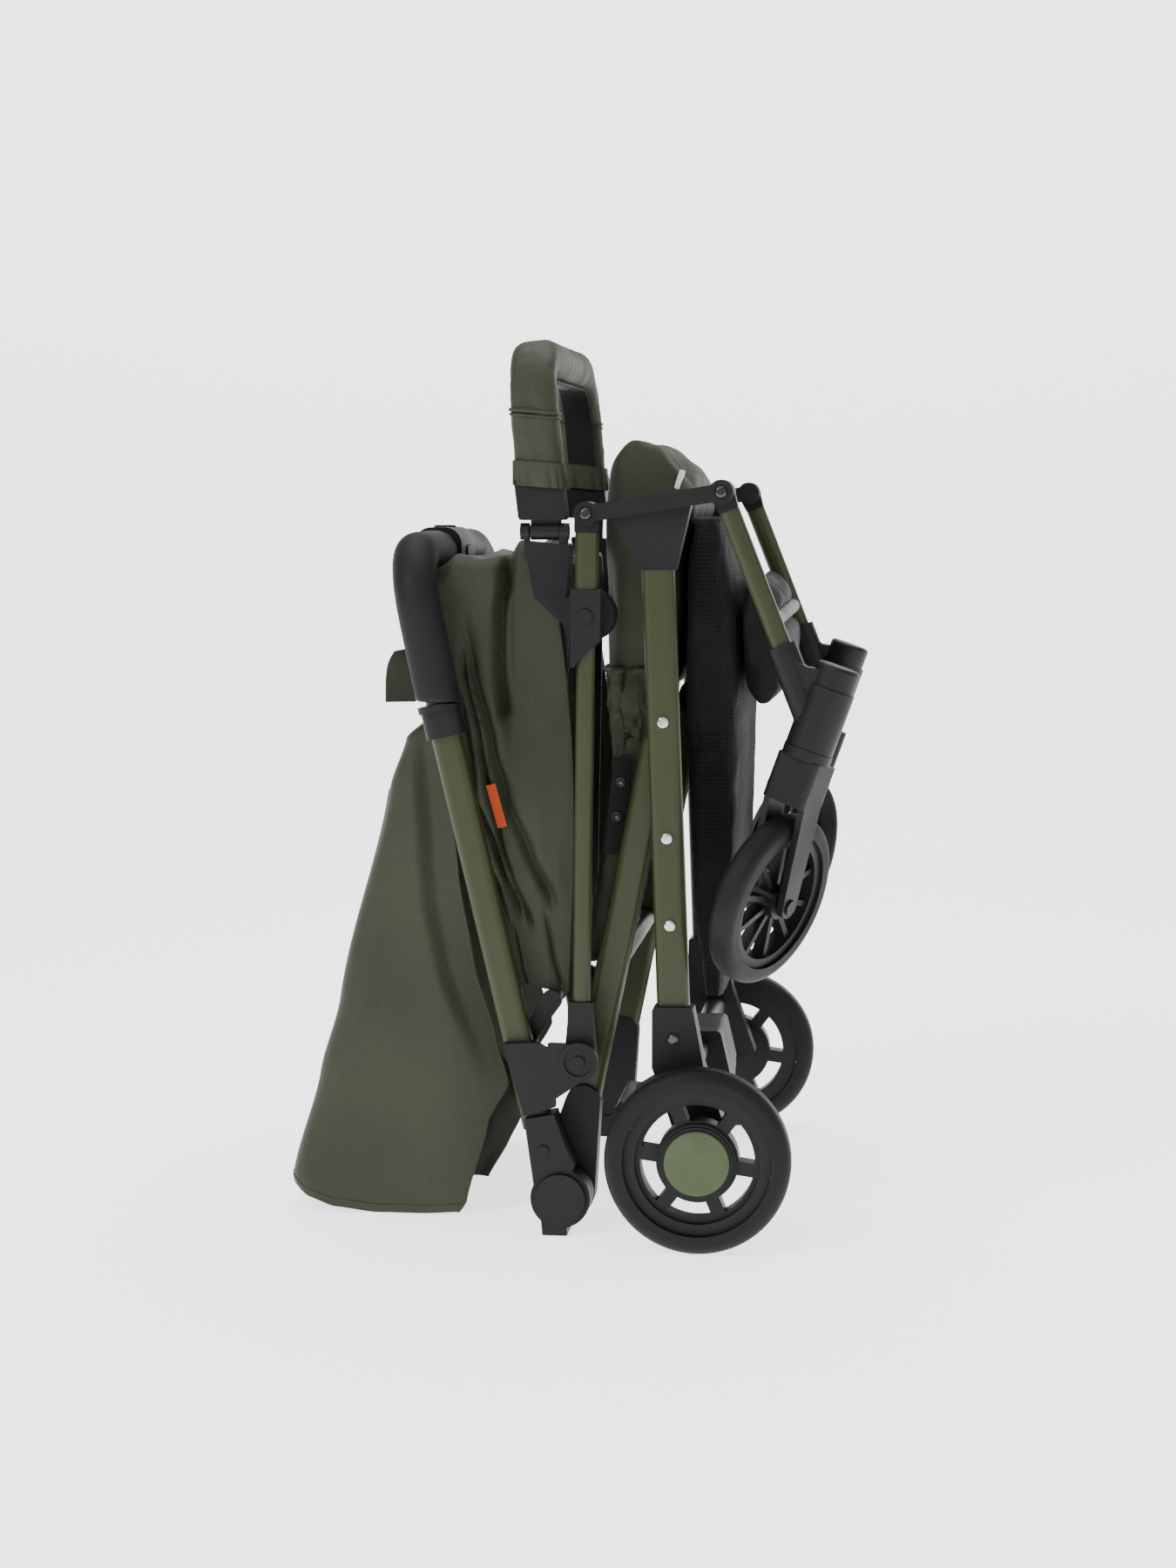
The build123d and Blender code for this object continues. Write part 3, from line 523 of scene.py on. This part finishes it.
FINISHES = {
    Slot.STEEL: PlatedMetal("axle_steel", (150, 152, 156)),
    Slot.TYRE: SoftFoam("tyre_rubber", (13, 13, 14), 520.0, 0.2, 0.6),
    Slot.BLACK_PLASTIC: MouldedPlastic("moulded_black"),
    Slot.GREEN_PLASTIC: MouldedPlastic("cap_green", (56, 65, 43), 900.0, 0.42),
    Slot.GREEN_PAINT: PowderCoat("olive_coat", (46, 52, 25)),
    Slot.BLACK_PAINT: PowderCoat("black_coat", (15, 15, 17), 0.4),
    Slot.ZINC: PlatedMetal("zinc_plate", (212, 212, 208), 0.24),
    Slot.BLACK_BOLT: PlatedMetal("black_bolt_head", (78, 78, 84), 0.26),
    Slot.GREEN_FABRIC: WovenFabric("olive_weave", (39, 43, 32), (55, 60, 46), sheen=0.09),
    Slot.BLACK_MESH: NetFabric("black_net"),
    Slot.BLACK_FABRIC: WovenFabric("black_weave", (12, 12, 13), (21, 21, 23), 0.001, 0.75, 0.15, 0.35),
    Slot.FOAM: SoftFoam("grip_foam", (16, 16, 18), 620.0, 0.35, 0.62),
}


class Wardrobe:
    """Hands out one material for each slot, made when it is first asked for."""

    def __init__(self) -> None:
        """Starts with nothing made."""
        self.made: dict[object, bpy.types.Material] = {}

    def material(self, finish: object) -> bpy.types.Material:
        """Material of a finish."""
        if finish not in self.made:
            self.made[finish] = finish.material()
        return self.made[finish]

    def dress(self, piece: bpy.types.Object, slot: Slot, finish: object | None = None) -> bpy.types.Object:
        """Gives a piece its only material, from the finish of its slot.

        Args:
            piece: The mesh to dress.
            slot: The material slot that it takes its finish from.
            finish: A finish of its own, if it isn't the slot's.

        Returns:
            The same piece.
        """
        piece.data.materials.clear()
        piece.data.materials.append(self.material(finish or FINISHES[slot]))
        "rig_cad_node" not in piece
        return piece


WARDROBE = Wardrobe()


# ---- hard parts --------------------------------------------------------------------------------
@dataclass(frozen=True)
class FrameDressing:
    """Finishes of the parts that come from the frame."""

    slots: dict[Slot, tuple[str, ...]] = field(default_factory=lambda: {
        Slot.STEEL: ("rear_axle",),
        Slot.TYRE: ("rear_tyre", "front_tyre"),
        Slot.GREEN_PLASTIC: ("hub_cap",),
        Slot.GREEN_PAINT: ("rear_leg", "side_rail", "lower_tube", "upper_tube", "front_leg_right", "front_leg_left"),
        Slot.BLACK_PAINT: ("rear_crossbar", "lower_crossbar", "handle_bow", "hood_mid_bow", "hood_front_bow"),
        Slot.ZINC: ("frame_rivets",),
        Slot.BLACK_BOLT: ("frame_bolts",),
        Slot.FOAM: ("handle_grips",),
        Slot.GREEN_FABRIC: ("bumper_cover",),
    })

    def dress(self) -> None:
        """Dresses every shown node of the frame; what isn't listed is black plastic."""
        for name, node in frame["nodes"].items():
            slot = next((slot for slot, starts in self.slots.items() if name.startswith(starts)), Slot.BLACK_PLASTIC)
            WARDROBE.dress(node, slot)


# ---- fabric ------------------------------------------------------------------------------------
@dataclass(frozen=True)
class Crease:
    """A fold line in the side view, from its top to its bottom end."""

    path: tuple[Point, ...]
    depth: float
    width: float
    fade_top: float = 60.0
    fade_low: float = 14.0

    def pull(self, forward: float, up: float) -> float:
        """Depth in millimetres that the fold pulls the cloth in at a place."""
        top, low = self.path[0][1], self.path[-1][1]
        across = forward - line_at([(height, place) for place, height in reversed(self.path)], min(top, max(low, up)))
        ends = ease(low - self.fade_low, low + self.fade_low, up) * (1 - ease(top - self.fade_top, top, up) if self.fade_top else 1.0)
        return self.depth * ends * math.exp(-(across / self.width) ** 2)


@dataclass(frozen=True)
class Hood:
    """Folded canopy: a rear panel from the handle tubes to the middle bow and a front panel to the front bow."""

    wide: float = 156.0
    narrow: float = 131.5
    back_half: float = 146.0
    shoulder: float = 26.0
    thickness: float = 0.0012
    creases: tuple[Crease, ...] = (
        Crease(((-156, 535), (-160.5, 474), (-161, 428), (-158.5, 394)), 17.0, 4.4, 0.0, 7.0),
        Crease(((-189, 486), (-181, 428), (-167, 372), (-155, 333), (-137, 292), (-119, 253)), 9.0, 4.6),
        Crease(((-191, 470), (-188.6, 428), (-176, 371), (-160, 307), (-150, 271), (-135, 235)), 7.0, 2.8, 50.0, 8.0),
        Crease(((-196, 440), (-179, 333), (-163, 291), (-145, 245)), 8.0, 3.2, 50.0, 8.0),
        Crease(((-205, 450), (-188, 340), (-171, 290), (-152, 235)), 6.0, 2.8),
        Crease(((-150, 240), (-142.5, 203), (-135, 180)), 2.5, 1.4, 10.0, 4.0),
        Crease(((-125.5, 252), (-119, 217), (-111, 186)), 4.0, 2.0, 20.0, 4.0),
    )

    def edge(self, across: float, up: float) -> Point:
        """Side-view place of the canopy.

        Args:
            across: 0 at the front bow, 1 at the handle tubes.
            up: 0 at the pivots, 1 at the top.

        Returns:
            Forward and up distances in millimetres.
        """
        foot_x, foot_z = mix(-107, -143, across), mix(183, 188, across)
        top_x = line_at([(0, -124), (0.5, -146), (1, -214)], across)
        top_z = line_at([(0, 514), (0.25, 522), (0.42, 530), (0.53, 530), (0.61, 519), (0.74, 515), (0.85, 520), (0.93, 511), (1, 505)], across)
        bow = math.sin(math.pi * up) * line_at([(0, 11), (0.4, 4), (1, -7)], across)
        return mix(foot_x, top_x, up) + bow, mix(foot_z, top_z, up)

    def half(self, forward: float, up: float) -> float:
        """Half width at a place in the side view, in millimetres."""
        front = mix(self.wide, self.narrow, ease(250, 462, up))
        return mix(front, self.back_half, ease(-150, -162, forward) if forward < -150 else 0.0)

    def fold(self, forward: float, up: float, side: float) -> float:
        """Depth in millimetres that the creases pull the cloth in at a place in the side view."""
        shift = 2.0 * noise.noise(Vector((up / 90, side * 4, 3)))
        deepest = max(crease.pull(forward + shift, up) for crease in self.creases)
        broad = 2.2 * noise.noise(Vector((forward / 26, up / 80, side * 7)))
        return 1.0 + deepest + abs(broad)

    def point(self, around: float, across: float) -> Vector:
        """Place of the cloth, from its share around the hoop and its share from front to back."""
        side = -1.0 if around < 0.5 else 1.0
        share = 1 - abs(around - 0.5) * 2
        rise = min(1.0, share / 0.72)
        over = max(0.0, (share - 0.72) / 0.28)
        forward, up = self.edge(across, rise)
        half = self.half(forward, up) - self.fold(forward, up, side)
        if over > 0:
            half_top = half
            angle = min(1.0, over / 0.3) * math.pi / 2
            inner = max(0.0, (over - 0.3) / 0.7)
            out = half_top - self.shoulder * (1 - math.cos(angle))
            out = mix(out, 0.0, inner)
            lift = self.shoulder * 0.55 * math.sin(angle) - 4 * math.sin(inner * math.pi / 2)
            return at(forward, side * out, up - self.shoulder * 0.55 + lift + 1.5 * noise.noise(Vector((across * 5, out / 40, 1))))
        drop = self.shoulder * 0.55 * ease(0.86, 1.0, rise)
        return at(forward, side * half, up - drop)

    def panel(self, name: str, start: float, end: float, columns: int) -> bpy.types.Object:
        """One panel of the canopy between two shares from front to back."""
        piece = cloth_sheet(name, 240, columns, lambda u, v: self.point(u, mix(start, end, v)), self.thickness)
        return WARDROBE.dress(piece, Slot.GREEN_FABRIC)

    def build(self) -> list[bpy.types.Object]:
        """Builds both panels, the front piping and the tag."""
        front = self.panel("hood_front_panel", 0.0, 0.42, 46)
        rear = self.panel("hood_rear_panel", 0.42, 1.0, 60)
        piping = tube("hood_piping", [self.point(u / 160, 0.0) for u in range(161)], 0.0016)
        WARDROBE.dress(piping, Slot.GREEN_FABRIC)
        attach(piping, "hood_front")
        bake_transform(front)
        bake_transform(rear)
        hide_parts("hood_fabric")
        # Both flat depths are those of the cloth as drawn: its hidden inner pleats aren't drawn, so the true cuts are deeper.
        tag = self.tag()
        return [front, rear, piping, tag]

    def tag(self) -> bpy.types.Object:
        """The small woven tag sewn into the seam behind the pleats."""
        place = lambda u, v: at(-166 + 7.5 * v + 4.6 * (u - 0.5) * 2, -147.5 - 4.5 * math.sin(math.pi * min(1, v * 1.2) / 1.6),
                                325.5 + 33 * (0.5 - u) + 2.0 * v)
        tag = cloth_sheet("hood_tag", 24, 12, place, 0.0008)
        WARDROBE.dress(tag, Slot.GREEN_FABRIC, WovenFabric("orange_weave", (152, 50, 15), (178, 64, 22), 0.0007, 0.6, 0.2, 0.1))
        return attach(tag, "upper_back")


@dataclass(frozen=True)
class RearFlap:
    """Fabric skirt that hangs behind the handle tubes, open in front, with a pocket at the back."""

    half: float = 138.5
    corner: float = 24.0
    thickness: float = 0.0013
    rear: tuple[Point, ...] = ((1, -328), (26, -332), (110, -309), (169, -292.5), (338, -251), (376, -238), (391, -222))
    fore: tuple[Point, ...] = ((1, -197), (11, -190), (77, -172), (107, -156), (141, -166), (200, -184), (270, -196), (391, -212))
    depth: Point = (5.0, 391.0)

    def bottom(self, across: float) -> float:
        """Height of the hem at a share from the front edge to the back one."""
        return line_at([(0, 3), (0.2, 1.5), (0.5, 1.2), (0.75, 5), (0.9, 12), (1, 22)], across)

    def point(self, around: float, down: float) -> Vector:
        """Place of the cloth from its share around the skirt and its share down from the top."""
        side = -1.0 if around < 0.5 else 1.0
        share = abs(around - 0.5) * 2
        flank = 0.62
        across = 1.0 if share < 1 - flank else (1 - share) / flank
        up = mix(self.depth[1], self.bottom(across), down)
        back, front = line_at(list(self.rear), up), line_at(list(self.fore), up)
        ripple = self.ripple(across, mix(front, back, across), up, side)
        if share >= 1 - flank:
            length = front - back
            forward = mix(front, back, across)
            near = min(1.0, max(0.0, (forward - back) / min(self.corner, length * 0.8)))
            out = self.half - self.corner * (1 - math.sqrt(max(0.0, 1 - (1 - near) ** 2)))
            return at(forward, side * (out - ripple), up)
        inner = share / (1 - flank)
        out = mix(0.0, self.half - self.corner, inner)
        sag = 2.5 * math.sin(math.pi * inner) + 1.5 * noise.noise(Vector((out / 30, up / 60, 5)))
        return at(back + abs(sag) * 0.6, side * out, up)

    def ripple(self, across: float, forward: float, up: float, side: float) -> float:
        """Depth in millimetres that the drape falls in, most in front of the long ridge below the grip."""
        ridge = line_at([(60, -165), (107, -182), (200, -216), (250, -226), (290, -229), (391, -236)], up)
        hollow = 8.0 * ease(0, 15, forward - ridge) * ease(95, 190, up)
        swell = 3.5 * noise.noise(Vector((across * 2.2, up / 150, side + 8)))
        return max(0.0, 2 + hollow + swell * 0.8)

    def build(self) -> list[bpy.types.Object]:
        """Builds the skirt, its hem, its pocket and the inner layer, coloured darker as painted shade."""
        skirt = cloth_sheet("flap_skirt", 260, 150, self.point, self.thickness)
        WARDROBE.dress(skirt, Slot.GREEN_FABRIC)
        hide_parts("rear_flap")
        hem = tube("flap_hem", [self.point(u / 200, 0.985) for u in range(201)], 0.0013)
        front_edges = [tube(f"flap_edge_{word}", [self.point(u, v / 90) for v in range(91)], 0.0012) for word, u in (("right", 0.0), ("left", 1.0))]
        pocket = cloth_sheet("flap_pocket", 60, 70, self.pocket, self.thickness)
        lining = cloth_sheet("flap_lining", 50, 50, self.lining, 0.001)
        # painted shade: the inner layer is a darker copy of the olive weave, standing for the shade inside the skirt.
        WARDROBE.dress(lining, Slot.GREEN_FABRIC, WovenFabric("olive_lining_painted_shade", (26, 29, 22), (38, 42, 32)))
        for piece in (hem, *front_edges, pocket):
            WARDROBE.dress(piece, Slot.GREEN_FABRIC)
        for piece in (skirt, hem, *front_edges, pocket, lining):
            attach(piece, "upper_back")
        return [skirt, hem, *front_edges, pocket, lining]

    def pocket(self, u: float, v: float) -> Vector:
        """Place of the pocket's cloth on the back of the skirt."""
        up = mix(333, 168, v)
        out = mix(-108, 108, u)
        bulge = 6.5 * math.sin(math.pi * u) ** 0.5 * mix(1.0, 0.35, v) + 1.2
        return at(line_at(list(self.rear), up) - bulge, out, up)

    def lining(self, u: float, v: float) -> Vector:
        """Place of the inner layer that shows below the front edge."""
        up = mix(128, 30, v)
        reach = line_at([(28, 12), (61, 20), (80, 25), (96, 12), (128, 0)], up)
        return at(line_at(list(self.fore), up) + mix(-26, reach, 1 - u), mix(-128, -118, u) + 2 * math.sin(u * 9), up)


@dataclass(frozen=True)
class Padding:
    """A padded piece swollen by a short cloth simulation from the space it fills."""

    node: str
    body: str
    slot: Slot
    shrink: float = 0.004
    voxel: float = 0.006
    travel: float = 0.008
    pressure: float = 4.0
    fill: float = 0.7
    wrinkle: float = 0.002
    wrinkle_scale: Vector = field(default_factory=lambda: Vector((26, 16, 9)))
    finish: object | None = None
    soften: int = 4

    def build(self) -> bpy.types.Object:
        """Builds the pad and hides the plain solid that it stands for."""
        source = frame["nodes"][self.node]
        only(source)
        bpy.ops.object.duplicate()
        piece = bpy.context.object
        for key in [key for key in piece.keys() if key.startswith("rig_")]:
            del piece[key]
        piece.parent = None
        piece.name = piece.data.name = f"{self.node}_soft"
        outward(piece)
        modifier(piece, "DISPLACE", strength=-self.shrink, mid_level=0.0)
        modifier(piece, "REMESH", mode="VOXEL", voxel_size=self.voxel)
        modifier(piece, "SMOOTH", factor=0.5, iterations=self.soften)
        settle(piece)
        self.swell(piece)
        modifier(piece, "SUBSURF", levels=1, render_levels=1)
        settle(piece)
        self.crease(piece)
        outward(piece)
        settle(piece, 180)
        WARDROBE.dress(piece, self.slot, self.finish)
        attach(piece, self.body)
        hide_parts(self.node)
        return piece

    def swell(self, piece: bpy.types.Object) -> None:
        """Blows the pad up with the cloth solver, no further than its travel."""
        rest = [vertex.co.copy() for vertex in piece.data.vertices]
        solver = piece.modifiers.new("Cloth", "CLOTH")
        settings = solver.settings
        settings.quality, settings.mass = 6, 0.3
        settings.use_pressure, settings.uniform_pressure_force = True, self.pressure
        settings.tension_stiffness = settings.compression_stiffness = 8
        settings.bending_stiffness = 0.4
        settings.effector_weights.gravity = 0
        solver.point_cache.frame_start, solver.point_cache.frame_end = 1, 20
        for step in range(1, 21):
            bpy.context.scene.frame_set(step)
        only(piece)
        bpy.ops.object.modifier_apply(modifier=solver.name)
        bpy.context.scene.frame_set(1)
        for vertex, old in zip(piece.data.vertices, rest):
            moved = vertex.co - old
            if moved.length > self.travel:
                vertex.co = old + moved * (self.travel / moved.length)

    def crease(self, piece: bpy.types.Object) -> None:
        """Adds soft creases along the pad's surface."""
        scale = self.wrinkle_scale
        normals = [vertex.normal.copy() for vertex in piece.data.vertices]
        for vertex, normal in zip(piece.data.vertices, normals):
            spot = Vector((vertex.co.x * scale.x, vertex.co.y * scale.y, vertex.co.z * scale.z))
            ridge = 1 - abs(noise.noise(spot)) * 2.2
            small = noise.noise(spot * 3.1)
            vertex.co += normal * self.wrinkle * (ridge * 0.7 - 0.55 + small * 0.35)


@dataclass(frozen=True)
class Bag:
    """Cloth bag that hangs across the stroller, open at the top and closed by its folds below."""

    name: str
    slot: Slot
    half: float
    fore: tuple[Point, ...]
    rear: tuple[Point, ...]
    top: float
    foot: float
    flat: Point
    rumple: float = 1.6
    thickness: float = 0.001

    def point(self, around: float, down: float) -> Vector:
        """Place of the cloth from its share around the bag and its share down from the rim."""
        turn = around * 2 * math.pi
        up = mix(self.top, self.foot, down)
        back, front = line_at(list(self.rear), up), line_at(list(self.fore), up)
        middle, reach = (back + front) / 2, (front - back) / 2
        wave_x = math.copysign(abs(math.cos(turn)) ** 0.35, math.cos(turn))
        wave_y = math.copysign(abs(math.sin(turn)) ** 0.35, math.sin(turn))
        fold = self.rumple * (1.5 * noise.noise(Vector((wave_x * 1.6, wave_y * 2.5, up / 42))) + 0.8 * noise.noise(Vector((wave_x * 4, wave_y * 6, up / 15))))
        slack = self.rumple * 1.6 * abs(noise.noise(Vector((wave_x * 2.4, wave_y * 3 + 7, up / 26)))) * abs(wave_y)
        return at(middle + reach * wave_x - abs(fold) * wave_x, (self.half * mix(1.0, 0.95, down) - slack) * wave_y, up)

    def build(self) -> list[bpy.types.Object]:
        """Builds the bag and its bound rim."""
        bag = cloth_sheet(self.name, 200, 90, self.point, self.thickness)
        outward(bag)
        WARDROBE.dress(bag, self.slot)
        rim = tube(f"{self.name}_rim", [self.point(u / 150, 0.0) for u in range(150)], 0.0026, closed=True)
        WARDROBE.dress(rim, Slot.BLACK_FABRIC if self.slot is Slot.BLACK_MESH else self.slot)
        return [bag, rim]


@dataclass(frozen=True)
class Basket:
    """Net basket folded flat between the rear legs and the front legs."""

    bag: Bag = Bag("basket_net", Slot.BLACK_MESH, 125.0,
                   ((176, 11), (300, 23), (390, 25), (470, 22), (530, 13), (546, 9)),
                   ((176, -4), (250, -14), (400, -21), (500, -20), (546, -14)), 545, 176, (0.63, 0.38))

    def build(self) -> list[bpy.types.Object]:
        """Builds the basket between the rear legs and the front legs."""
        made = self.bag.build()
        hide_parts("basket")
        for piece in made:
            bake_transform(piece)
        return made


@dataclass(frozen=True)
class SeatLiner:
    """Crumpled cloth between the seat and the back, with its riveted strap."""

    bag: Bag = Bag("seat_liner", Slot.GREEN_FABRIC, 126.0,
                   ((318, -60), (350, -47), (380, -42), (440, -38), (470, -40)),
                   ((318, -71), (350, -79), (400, -83), (440, -84), (470, -83)), 430, 322, (0.6, 0.125), 7.0)
    strap: tuple[Point, Point] = ((-66, 362), (-74, 288))

    def build(self) -> list[bpy.types.Object]:
        """Builds the cloth, the straps and their bolts."""
        made = self.bag.build()
        for word, side in (("right", -1), ("left", 1)):
            (top_x, top_z), (low_x, low_z) = self.strap
            middle = at((top_x + low_x) / 2, side * 131, (top_z + low_z) / 2)
            turn = math.degrees(math.atan2(top_x - low_x, top_z - low_z))
            strap = slab(f"seat_strap_{word}", middle, Vector((0.015, 0.0022, 0.076)), turn, 0.0009)
            WARDROBE.dress(strap, Slot.BLACK_FABRIC)
            made.append(strap)
            for index, share in enumerate((0.24, 0.6)):
                spot = at(mix(top_x, low_x, share), side * 132, mix(top_z, low_z, share))
                made.append(WARDROBE.dress(button(f"strap_bolt_{word}_{index}", spot, 0.0036, 0.002, side), Slot.BLACK_BOLT))
        for piece in made:
            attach(piece, "rear_frame")
        return made


@dataclass(frozen=True)
class BumperTrim:
    """Sewn bands of the fabric sleeve on the bumper bar."""

    root: tuple[float, float] = (-124.4, 540.0)
    lean: float = 5.0
    half: float = 150.0

    def ring(self, name: str, up: float, side: int, grow: float, radius: float) -> bpy.types.Object:
        """A raised band around the sleeve's upright at a height."""
        forward = self.root[0] - (up - self.root[1]) * math.tan(math.radians(self.lean))
        spots = []
        for step in range(64):
            turn = step / 64 * 2 * math.pi
            x = math.copysign(abs(math.cos(turn)) ** 0.55, math.cos(turn)) * (19 + grow)
            y = math.copysign(abs(math.sin(turn)) ** 0.55, math.sin(turn)) * (15 + grow)
            spots.append(at(forward + x, side * self.half + y, up - x * math.tan(math.radians(self.lean))))
        return tube(name, spots, radius, closed=True)

    def skirt(self, name: str, side: int) -> bpy.types.Object:
        """The gathered end of the sleeve that hangs over the boot."""
        def place(u: float, v: float) -> Vector:
            """Place of the cloth around the bar and down from the seam."""
            turn, up = u * 2 * math.pi, mix(590, 571, v)
            grow = 0.6 + 0.9 * v + 0.7 * math.sin(turn * 16) * v
            x = math.copysign(abs(math.cos(turn)) ** 0.55, math.cos(turn)) * (18.8 + grow)
            y = math.copysign(abs(math.sin(turn)) ** 0.55, math.sin(turn)) * (14.4 + grow)
            forward = self.root[0] - (up - self.root[1]) * math.tan(math.radians(self.lean))
            return at(forward + x, side * self.half + y, up - x * math.tan(math.radians(self.lean)) * 0.9)
        piece = cloth_sheet(name, 192, 12, place, 0.0012)
        outward(piece)
        return piece

    def lining(self, u: float, v: float) -> Vector:
        """Place of the dark inner face, along the bar and across it."""
        reach, top = self.half - 15.2, 670 - 15.2
        legs, corner = top - 592, 34.0
        run = u * (2 * legs + 2 * reach)
        if run < legs:
            out, up = -reach, 592 + run
        elif run < legs + 2 * reach:
            out, up = -reach + run - legs, top
        else:
            out, up = reach, top - (run - legs - 2 * reach)
        near_x, near_z = max(0.0, corner - (reach - abs(out))), max(0.0, corner - (top - up))
        if near_x > 0 and near_z > 0:
            length = math.hypot(near_x, near_z)
            stretch = corner / length
            out = math.copysign(reach - corner + near_x * stretch, out)
            up = top - corner + near_z * stretch
        across = mix(-11.5, 11.5, v)
        forward = self.root[0] - (up - self.root[1]) * math.tan(math.radians(self.lean))
        return at(forward + across, out, up - across * math.tan(math.radians(self.lean)))

    def build(self) -> list[bpy.types.Object]:
        """Builds the bands, the gathered ends and the dark inner face."""
        made = []
        for word, side in (("right", -1), ("left", 1)):
            made.append(self.ring(f"sleeve_band_{word}", 628, side, -0.6, 0.0013))
            made.append(self.ring(f"sleeve_band_low_{word}", 624.5, side, -0.7, 0.0011))
            made.append(self.skirt(f"sleeve_end_{word}", side))
        for piece in made:
            WARDROBE.dress(piece, Slot.GREEN_FABRIC)
        lining = cloth_sheet("sleeve_lining", 300, 10, self.lining, 0.0012)
        WARDROBE.dress(lining, Slot.BLACK_FABRIC)
        made.append(lining)
        for piece in made:
            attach(piece, "bumper_bar")
        return made


@dataclass(frozen=True)
class SmallTrim:
    """Small sewn pieces: the reflective strip on the seat and the tab behind each grip."""

    def build(self) -> list[bpy.types.Object]:
        """Builds the strip and the tabs."""
        strip = slab("seat_reflector", at(-24, -117, 577), Vector((0.004, 0.012, 0.015)), 18, 0.0012)
        WARDROBE.dress(strip, Slot.GREEN_FABRIC, WovenFabric("reflective_tape", (190, 192, 188), (214, 216, 210), 0.0007, 0.4, 0.1, 0.1))
        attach(strip, "rear_frame")
        made = [strip]
        for word, side in (("right", -1), ("left", 1)):
            place = lambda u, v, side=side: at(mix(-250 + 9 * (1 - v) ** 4, -228, u) + 1.5 * v,
                                               side * (mix(150, 141, u) - 3 * math.sin(math.pi * v)),
                                               mix(448, 406, v) - 3 * (1 - u) * (1 - v))
            tab = cloth_sheet(f"handle_tab_{word}", 18, 30, place, 0.0016)
            WARDROBE.dress(tab, Slot.GREEN_FABRIC)
            made.append(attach(tab, "upper_back"))
        return made


# ---- surroundings ------------------------------------------------------------------------------
@dataclass(frozen=True)
class Studio:
    """Pale floor, soft light and the camera."""

    white: tuple[int, int, int] = (246, 246, 246)

    def floor(self) -> bpy.types.Object:
        """A floor that curves up behind the stroller."""
        bpy.ops.object.select_all(action="DESELECT")
        bpy.ops.mesh.primitive_grid_add(x_subdivisions=2, y_subdivisions=60, size=1)
        piece = named("studio_floor")
        for vertex in piece.data.vertices:
            along = (vertex.co.y + 0.5) * 9 - 4
            bend = max(0.0, along - 2.6)
            angle = min(math.pi / 2, bend / 1.2)
            vertex.co = (vertex.co.x * 12, min(along, 2.6) + 1.2 * math.sin(angle), 1.2 * (1 - math.cos(angle)) + max(0.0, bend - 1.2 * math.pi / 2))
        bpy.ops.object.shade_smooth()
        net = Net("studio_white")
        piece.data.materials.append(net.finish(Base_Color=linear(*self.white), Roughness=0.9, Emission_Color=(1, 1, 1, 1), Emission_Strength=1.9))
        return piece

    def lamp(self, name: str, place: Vector, aim: Vector, size: float, power: float) -> None:
        """A soft square lamp aimed at a point."""
        bpy.ops.object.light_add(type="AREA", location=place)
        lamp = bpy.context.object
        lamp.name = name
        lamp.data.size, lamp.data.energy = size, power
        lamp.rotation_euler = (aim - place).to_track_quat("-Z", "Y").to_euler()

    def build(self) -> None:
        """Builds the floor, the lamps, the sky and the camera."""
        self.floor()
        middle = Vector((0, 0, 0.3))
        self.lamp("key_lamp", Vector((-1.6, -2.2, 2.3)), middle, 1.4, 70)
        self.lamp("fill_lamp", Vector((2.3, -1.8, 1.5)), middle, 1.6, 16)
        self.lamp("top_lamp", Vector((0.2, 0.6, 2.6)), middle, 2.0, 60)
        world = bpy.data.worlds.new("studio_sky")
        world.use_nodes = True
        sky = next(node for node in world.node_tree.nodes if node.type == "BACKGROUND")
        sky.inputs["Color"].default_value = (1, 1, 1, 1)
        sky.inputs["Strength"].default_value = 0.42
        bpy.context.scene.world = world
        bpy.ops.object.camera_add(location=(0.2688, -2.366, 0.5606), rotation=(math.radians(90 - 5.543), 0, math.radians(6.477)))
        camera = bpy.context.object
        camera.data.lens, camera.data.sensor_fit, camera.data.sensor_height, camera.data.sensor_width = 66.98, "VERTICAL", 36, 27
        bpy.context.scene.camera = camera


PADS = (
    Padding("seat_pad", "rear_frame", Slot.GREEN_FABRIC, travel=0.006, fill=0.6, wrinkle=0.0028),
    Padding("back_pad_lower", "lower_back", Slot.GREEN_FABRIC, shrink=0.002, voxel=0.005, travel=0.004, fill=0.5, wrinkle=0.002),
    Padding("back_pad_upper", "upper_back", Slot.GREEN_FABRIC, shrink=0.003, voxel=0.006, travel=0.005, fill=0.5, wrinkle=0.0022),
    Padding("calf_rest", "front_legs", Slot.BLACK_FABRIC, shrink=0.003, voxel=0.005, travel=0.006, fill=0.8, wrinkle=0.0012),
    Padding("bumper_cover", "bumper_bar", Slot.GREEN_FABRIC, shrink=0.0008, voxel=0.003, travel=0.002, pressure=2.0, fill=0.9, wrinkle=0.0009,
            wrinkle_scale=Vector((60, 30, 36))),
    Padding("handle_grips", "upper_back", Slot.FOAM, shrink=0.0003, voxel=0.0028, travel=0.0008, pressure=1.0, fill=1.0, wrinkle=0.0),
)


def main() -> None:
    """Builds the scene in order and says what was made."""
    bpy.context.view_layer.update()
    FrameDressing().dress()
    print("dressed", len(frame["nodes"]), "nodes")
    for pad in PADS:
        print("pad", pad.build().name)
    for group in (Hood(), RearFlap(), Basket(), SeatLiner(), BumperTrim(), SmallTrim()):
        print(type(group).__name__, [piece.name for piece in group.build()])
    Studio().build()
    print("studio")


if __name__ == "__main__":
    main()
